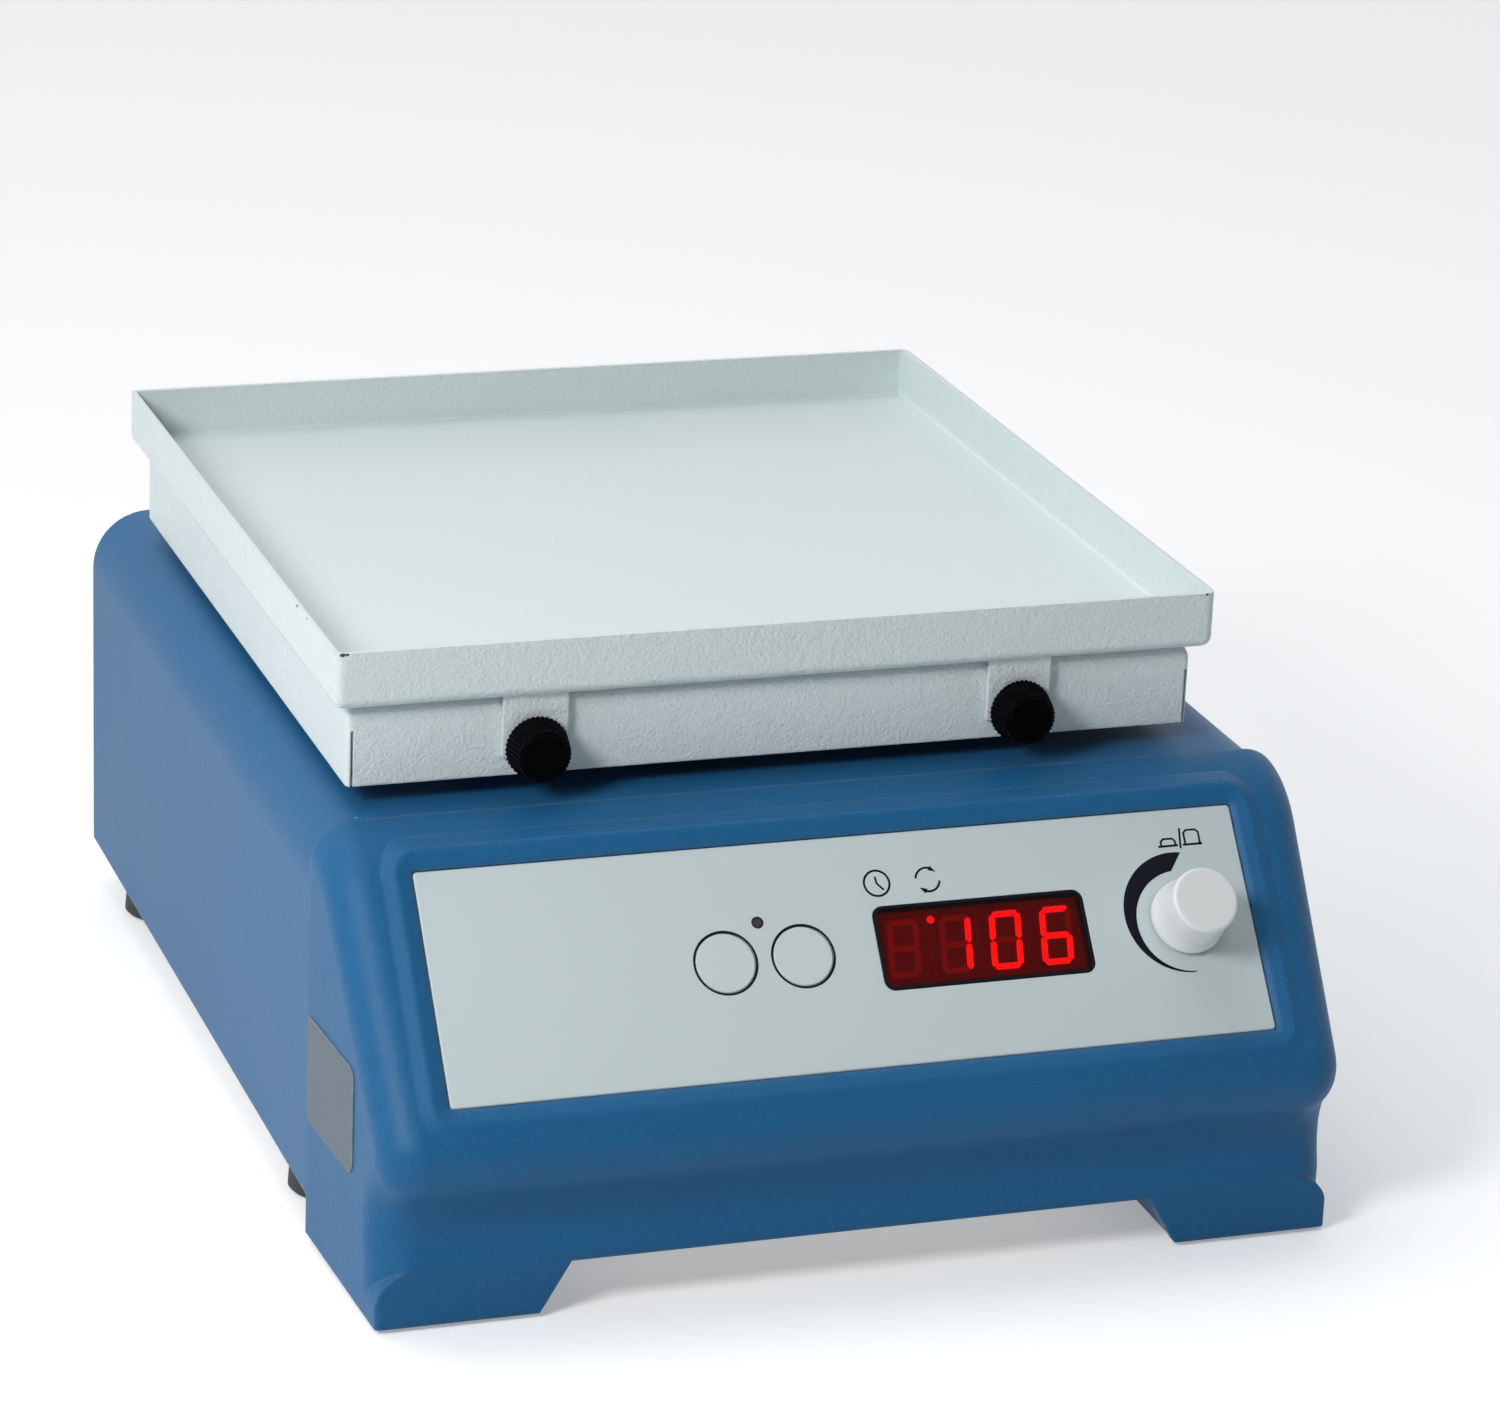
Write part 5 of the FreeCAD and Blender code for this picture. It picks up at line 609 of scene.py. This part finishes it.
# The finish of each material slot of the CAD pieces
FINISHES = {
    "blue_moulding": blue_moulding,
    "powder_coat": powder_coat,
    "panel_grey": panel_foil,
    "key_grey": key_foil,
    "dark_red_lens": dark_red_window,
    "display_face": display_block,
    "lamp_dark": unlit_lamp,
    "white_plastic": white_satin_plastic,
    "black_plastic": black_plastic,
    "black_rubber": black_rubber,
    "board_green": board_green,
    "sheet_steel": zinc_plated_steel,
    "turned_steel": turned_steel,
    "cast_alloy": turned_alloy,
    "brass_plated": nickelled_brass,
    "winding": taped_winding,
    "fuse_glass": fuse_glass,
}


def dress_cad_pieces():
    finishes = {slot: make() for slot, make in FINISHES.items()}
    for part in frame["record"]["subparts"]:
        mesh = frame["nodes"][part["node"]].data
        mesh.materials.clear()
        mesh.materials.append(finishes[part["material_slot"]])


def keep(shape, name, material, place):
    """Turns a bmesh into a finished piece of the housing."""
    bmesh.ops.remove_doubles(shape, verts=shape.verts, dist=1e-6)
    bmesh.ops.recalc_face_normals(shape, faces=shape.faces)
    bmesh.ops.transform(shape, matrix=place, verts=shape.verts)
    if place.determinant() < 0:
        bmesh.ops.reverse_faces(shape, faces=shape.faces)
    mesh = bpy.data.meshes.new(name)
    shape.to_mesh(mesh)
    shape.free()
    mesh.materials.append(material)
    piece = bpy.data.objects.new(name, mesh)
    scene.collection.objects.link(piece)
    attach(piece, "housing")


# Printed marks: places on the panel, widths of the strokes and heights of the ink, in millimetres;
# the ends of an arc are angles in degrees, and ARROW_TIP is a share of the width of the arrow's head
INK_HEIGHT = 0.05
SCALE_HEIGHT = 0.02
KEY_RING_GAP = 0.36
KEY_RING_WIDTH = 0.52
KEY_RING_HEIGHT = 0.09
LAMP_RING_RADIUS = 1.34
LAMP_RING_WIDTH = 0.30
CLOCK = (9.15, 12.25)
CLOCK_RADIUS = 3.15
CLOCK_WIDTH = 0.56
CLOCK_HANDS = [(8.95, 10.6), (9.1, 12.25), (10.6, 14.0)]
HANDS_WIDTH = 0.52
TURN_ARROWS = (21.9, 12.4)
ARROW_RADIUS = 2.95
ARROW_WIDTH = 0.54
ARROW_ENDS = (190, 292)
ARROW_HEAD_WIDTH = 1.35
ARROW_HEAD_ENDS = (285, 322)
ARROW_TIP = 0.05
BUTTON_LINE_WIDTH = 0.58
BUTTON_WIDTH = 0.54
BUTTON_PRESSED = [(82.45, 9.2), (82.45, 8.1), (83.1, 7.45), (85.5, 7.45), (86.1, 8.1), (86.1, 9.2)]
BUTTON_PRESSED_LINE = [(81.6, 9.25), (86.7, 9.25)]
BUTTON_OUT = [(88.7, 9.2), (88.7, 6.3), (89.4, 5.6), (91.8, 5.6), (92.5, 6.3), (92.5, 9.2)]
BUTTON_OUT_LINE = [(88.0, 9.25), (93.0, 9.25)]
SLASH = [(87.85, 5.0), (87.25, 10.1)]
SLASH_WIDTH = 0.52
BORDER_INSET = Vector((0.45, 0.45))
BORDER_CORNER = 2.3
BORDER_WIDTH = 0.95
BORDER_HEIGHT = 0.06
# The speed scale lies between two arcs; their centres are measured from the knob's
SCALE_OUTER = (-0.5, -1.5)
SCALE_OUTER_RADIUS = 15.1
SCALE_OUTER_ENDS = (279, 90)
SCALE_INNER = (-0.1, 0.65)
SCALE_INNER_RADIUS = 12.65
SCALE_INNER_ENDS = (88, 264)


def arc(cx, cy, radius, start, end, steps=40):
    """Points on a circle of the panel; angles in degrees, clockwise from the right as seen."""
    points = []
    for i in range(steps + 1):
        angle = math.radians(start + (end - start) * i / steps)
        points.append((cx + radius * math.cos(angle), cy + radius * math.sin(angle)))
    return points


def ring(cx, cy, radius, steps):
    return arc(cx, cy, radius, 0, 360, steps)[:-1]


def rounded(x0, y0, x1, y1, radius, steps=8):
    """Outline of a rectangle with round corners."""
    points = []
    for cx, cy, start in ((x1 - radius, y0 + radius, -90), (x1 - radius, y1 - radius, 0),
                          (x0 + radius, y1 - radius, 90), (x0 + radius, y0 + radius, 180)):
        points += arc(cx, cy, radius, start, start + 90, steps)
    return points


def panel_curve(points, closed):
    """A curve through points (x, y) or (x, y, width factor) of the panel."""
    curve = bpy.data.curves.new("print", "CURVE")
    line = curve.splines.new("POLY")
    line.points.add(len(points) - 1)
    for point, value in zip(line.points, points):
        point.co = (value[0], value[1], 0, 1)
        point.radius = value[2] if len(value) > 2 else 1.0
    line.use_cyclic_u = closed
    return curve


def add_curve(shape, curve, place):
    """Adds a curve to a bmesh as a mesh, and deletes the curve."""
    holder = bpy.data.objects.new("print", curve)
    mesh = bpy.data.meshes.new_from_object(holder)
    before = len(shape.verts)
    shape.from_mesh(mesh)
    shape.verts.ensure_lookup_table()
    bmesh.ops.transform(shape, matrix=place, verts=shape.verts[before:])
    bpy.data.objects.remove(holder)
    bpy.data.curves.remove(curve)
    bpy.data.meshes.remove(mesh)


def stroke(shape, points, width, closed=False, height=INK_HEIGHT):
    """Adds one printed stroke: a flat band along the points."""
    curve = panel_curve(points, closed)
    curve.dimensions = "3D"
    curve.bevel_depth = width / 2
    curve.bevel_resolution = 1
    curve.use_fill_caps = True
    add_curve(shape, curve, Matrix.Diagonal((1, 1, 2 * height / width, 1)))


def area(shape, outline, height):
    """Adds a printed area with the given outline."""
    curve = panel_curve(outline, True)
    curve.dimensions = "2D"
    curve.fill_mode = "BOTH"
    curve.extrude = height
    add_curve(shape, curve, Matrix.Identity(4))


def print_rings(shape):
    """A ring around each key and around the lamp."""
    for key in ("start_stop_key", "mode_key"):
        low, high = corners(key, PANEL)
        radius = (high.x - low.x) / 2 + KEY_RING_GAP
        stroke(shape, ring(*middle(key), radius, 72), KEY_RING_WIDTH, True, KEY_RING_HEIGHT)
    stroke(shape, ring(*middle("indicator_lamp"), LAMP_RING_RADIUS, 24), LAMP_RING_WIDTH, True)


def print_clock(shape):
    stroke(shape, ring(*CLOCK, CLOCK_RADIUS, 48), CLOCK_WIDTH, True)
    stroke(shape, CLOCK_HANDS, HANDS_WIDTH)


def print_turn_arrows(shape):
    """Two arrows that chase each other around a circle."""
    for turn in (0, 180):
        start, end = (angle + turn for angle in ARROW_ENDS)
        stroke(shape, arc(*TURN_ARROWS, ARROW_RADIUS, start, end, 20), ARROW_WIDTH)
        start, end = (angle + turn for angle in ARROW_HEAD_ENDS)
        base, tip = arc(*TURN_ARROWS, ARROW_RADIUS, start, end, 1)
        stroke(shape, [base + (1.0,), tip + (ARROW_TIP,)], ARROW_HEAD_WIDTH)


def print_mains_sign(shape):
    """A pressed button, a slash and a button that stands out, as on a push switch."""
    stroke(shape, BUTTON_PRESSED_LINE, BUTTON_LINE_WIDTH)
    stroke(shape, BUTTON_PRESSED, BUTTON_WIDTH)
    stroke(shape, SLASH, SLASH_WIDTH)
    stroke(shape, BUTTON_OUT_LINE, BUTTON_LINE_WIDTH)
    stroke(shape, BUTTON_OUT, BUTTON_WIDTH)


def print_speed_scale(shape):
    """A crescent around the knob that grows with the speed."""
    x, y = middle("control_knob")
    outer = arc(x + SCALE_OUTER[0], y + SCALE_OUTER[1], SCALE_OUTER_RADIUS, *SCALE_OUTER_ENDS, 60)
    inner = arc(x + SCALE_INNER[0], y + SCALE_INNER[1], SCALE_INNER_RADIUS, *SCALE_INNER_ENDS, 60)
    area(shape, outer + inner, SCALE_HEIGHT)


def print_marks(ink):
    shape = bmesh.new()
    print_rings(shape)
    print_clock(shape)
    print_turn_arrows(shape)
    print_mains_sign(shape)
    print_speed_scale(shape)
    keep(shape, "printed_marks", ink, PANEL)


def window_border(ink):
    """A black line along the edge of the window."""
    low, high = corners("display_lens", PANEL)
    outline = rounded(*(low.xy + BORDER_INSET), *(high.xy - BORDER_INSET), BORDER_CORNER)
    shape = bmesh.new()
    stroke(shape, outline, BORDER_WIDTH, True, BORDER_HEIGHT)
    keep(shape, "window_border", ink, PANEL)


# Digits: sizes of the bars, and how deep they sit below the face of the display block, in millimetres
SIDE_X = 3.25
SIDE_Y = 3.25
END_Y = 6.45
BAR_WIDTH = 1.45
UPRIGHT_LENGTH = 6.1
LEVEL_LENGTH = 6.2
BAR_THICKNESS = 0.34
BAR_POINT = 0.42
BAR_DEPTH = 0.21
POINT_PLACE = (21.24, 21.9)
POINT_RADIUS = 0.95
POINT_LENGTH = 0.5
POINT_DEPTH = 0.13
# How far a digit leans to the right for each unit of its height
DIGIT_LEAN = 0.118
# Middle of each bar in its digit, and whether it stands upright
BARS = {
    "a": (0.0, -END_Y, False), "b": (SIDE_X, -SIDE_Y, True), "c": (SIDE_X, SIDE_Y, True),
    "d": (0.0, END_Y, False), "e": (-SIDE_X, SIDE_Y, True), "f": (-SIDE_X, -SIDE_Y, True),
    "g": (0.0, 0.0, False),
}
# Place of each digit across the panel, and its lit bars
DIGITS = [(13.4, ""), (26.5, "bc"), (39.2, "abcdef"), (52.0, "acdefg")]


def add_bar(shape, upright, place):
    """Adds one bar of a digit, with its corners cut to points."""
    size = (BAR_WIDTH, UPRIGHT_LENGTH) if upright else (LEVEL_LENGTH, BAR_WIDTH)
    made = bmesh.ops.create_cube(shape, size=1.0, matrix=Matrix.Diagonal(size + (BAR_THICKNESS, 1.0)))
    edges = dict.fromkeys(e for v in made["verts"] for e in v.link_edges)
    rising = [e for e in edges if abs(e.verts[0].co.z - e.verts[1].co.z) > BAR_THICKNESS / 2]
    cut = bmesh.ops.bevel(shape, geom=rising, offset=BAR_POINT, affect="EDGES", segments=1, profile=0.5,
                          material=-1)
    verts = dict.fromkeys(v for f in cut["faces"] for v in f.verts)
    bmesh.ops.transform(shape, matrix=place, verts=list(verts))


def show_digits(lit, unlit):
    """Four digits and a point behind the window; the first digit is dark."""
    bright = bmesh.new()
    faint = bmesh.new()
    row = middle("display_lens")[1]
    face = corners("display_module", PANEL)[1].z
    lean = Matrix(((1, -DIGIT_LEAN, 0, 0), (0, 1, 0, 0), (0, 0, 1, 0), (0, 0, 0, 1)))
    for centre, letters in DIGITS:
        digit = Matrix.Translation((centre, row, face - BAR_DEPTH)) @ lean
        for letter, (x, y, upright) in BARS.items():
            shape = bright if letter in letters else faint
            add_bar(shape, upright, digit @ Matrix.Translation((x, y, 0)))
    place = Matrix.Translation(POINT_PLACE + (face - POINT_DEPTH,))
    bmesh.ops.create_cone(bright, cap_ends=True, segments=24, radius1=POINT_RADIUS, radius2=POINT_RADIUS,
                          depth=POINT_LENGTH, matrix=place)
    keep(bright, "lit_segments", lit, PANEL)
    keep(faint, "unlit_segments", unlit, PANEL)


# Side plate: sizes in millimetres; it starts PLATE_START ahead of the joint between nose and cover
PLATE_LENGTH = 34.6
PLATE_HEIGHT = 26.6
PLATE_START = 0.6
PLATE_MIDDLE_Z = 45.2
PLATE_FRONT_CORNER = 3.6
PLATE_REAR_CORNER = 1.2
PLATE_THICKNESS = 0.35
PLATE_EDGE = 0.12
# How far the nose's side runs inwards for each unit forward
NOSE_TAPER = 0.06


def side_plate(foil):
    """Bare silver plate on the left side of the nose, which narrows towards the front."""
    shape = bmesh.new()
    bmesh.ops.create_grid(shape, x_segments=1, y_segments=1, size=0.5)
    stretch = Matrix.Diagonal((PLATE_LENGTH, PLATE_HEIGHT, 1.0, 1.0))
    bmesh.ops.transform(shape, matrix=stretch, verts=shape.verts)
    front = [v for v in shape.verts if v.co.x > 0]
    rear = [v for v in shape.verts if v.co.x < 0]
    for ends, radius in ((front, PLATE_FRONT_CORNER), (rear, PLATE_REAR_CORNER)):
        bmesh.ops.bevel(shape, geom=ends, offset=radius, affect="VERTICES", segments=6, profile=0.5,
                        material=-1)
    grown = bmesh.ops.extrude_face_region(shape, geom=list(shape.faces))
    top = [v for v in grown["geom"] if isinstance(v, bmesh.types.BMVert)]
    bmesh.ops.translate(shape, verts=top, vec=(0, 0, PLATE_THICKNESS))
    upper = [e for e in shape.edges if all(v.co.z > PLATE_THICKNESS / 2 for v in e.verts)]
    bmesh.ops.bevel(shape, geom=upper, offset=PLATE_EDGE, affect="EDGES", segments=2, profile=0.5,
                    material=-1)
    # On the shaker, the plate's x runs forward, its y up and its z out to the left
    lie = Matrix(((0, 0, -1, 0), (-1, 0, 0, 0), (0, 1, 0, 0), (0, 0, 0, 1)))
    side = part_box("front_moulding")[0].x
    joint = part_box("rear_cover")[0].y
    ahead = (PLATE_START + PLATE_LENGTH / 2) * MM
    centre = Vector((side + NOSE_TAPER * ahead, joint - ahead, PLATE_MIDDLE_Z * MM))
    taper = Matrix.Rotation(math.atan(NOSE_TAPER), 4, "Z")
    place = Matrix.Translation(centre) @ taper @ lie @ Matrix.Diagonal((MM, MM, MM, 1.0))
    keep(shape, "side_plate", foil, place)


look_from_the_front_left()
light_the_room()
lay_floor()
dress_cad_pieces()
ink = printing_ink()
print_marks(ink)
window_border(ink)
show_digits(
    lit=glowing("lit_segment", colour=(1.0, 0.075, 0.07), strength=1.25),
    # The dark bars get a faint painted glow of their own, though they are not lit.
    unlit=glowing("unlit_segment", colour=(0.26, 0.04, 0.025), strength=0.12),
)
side_plate(silver_foil())

scene.view_settings.view_transform = "Standard"
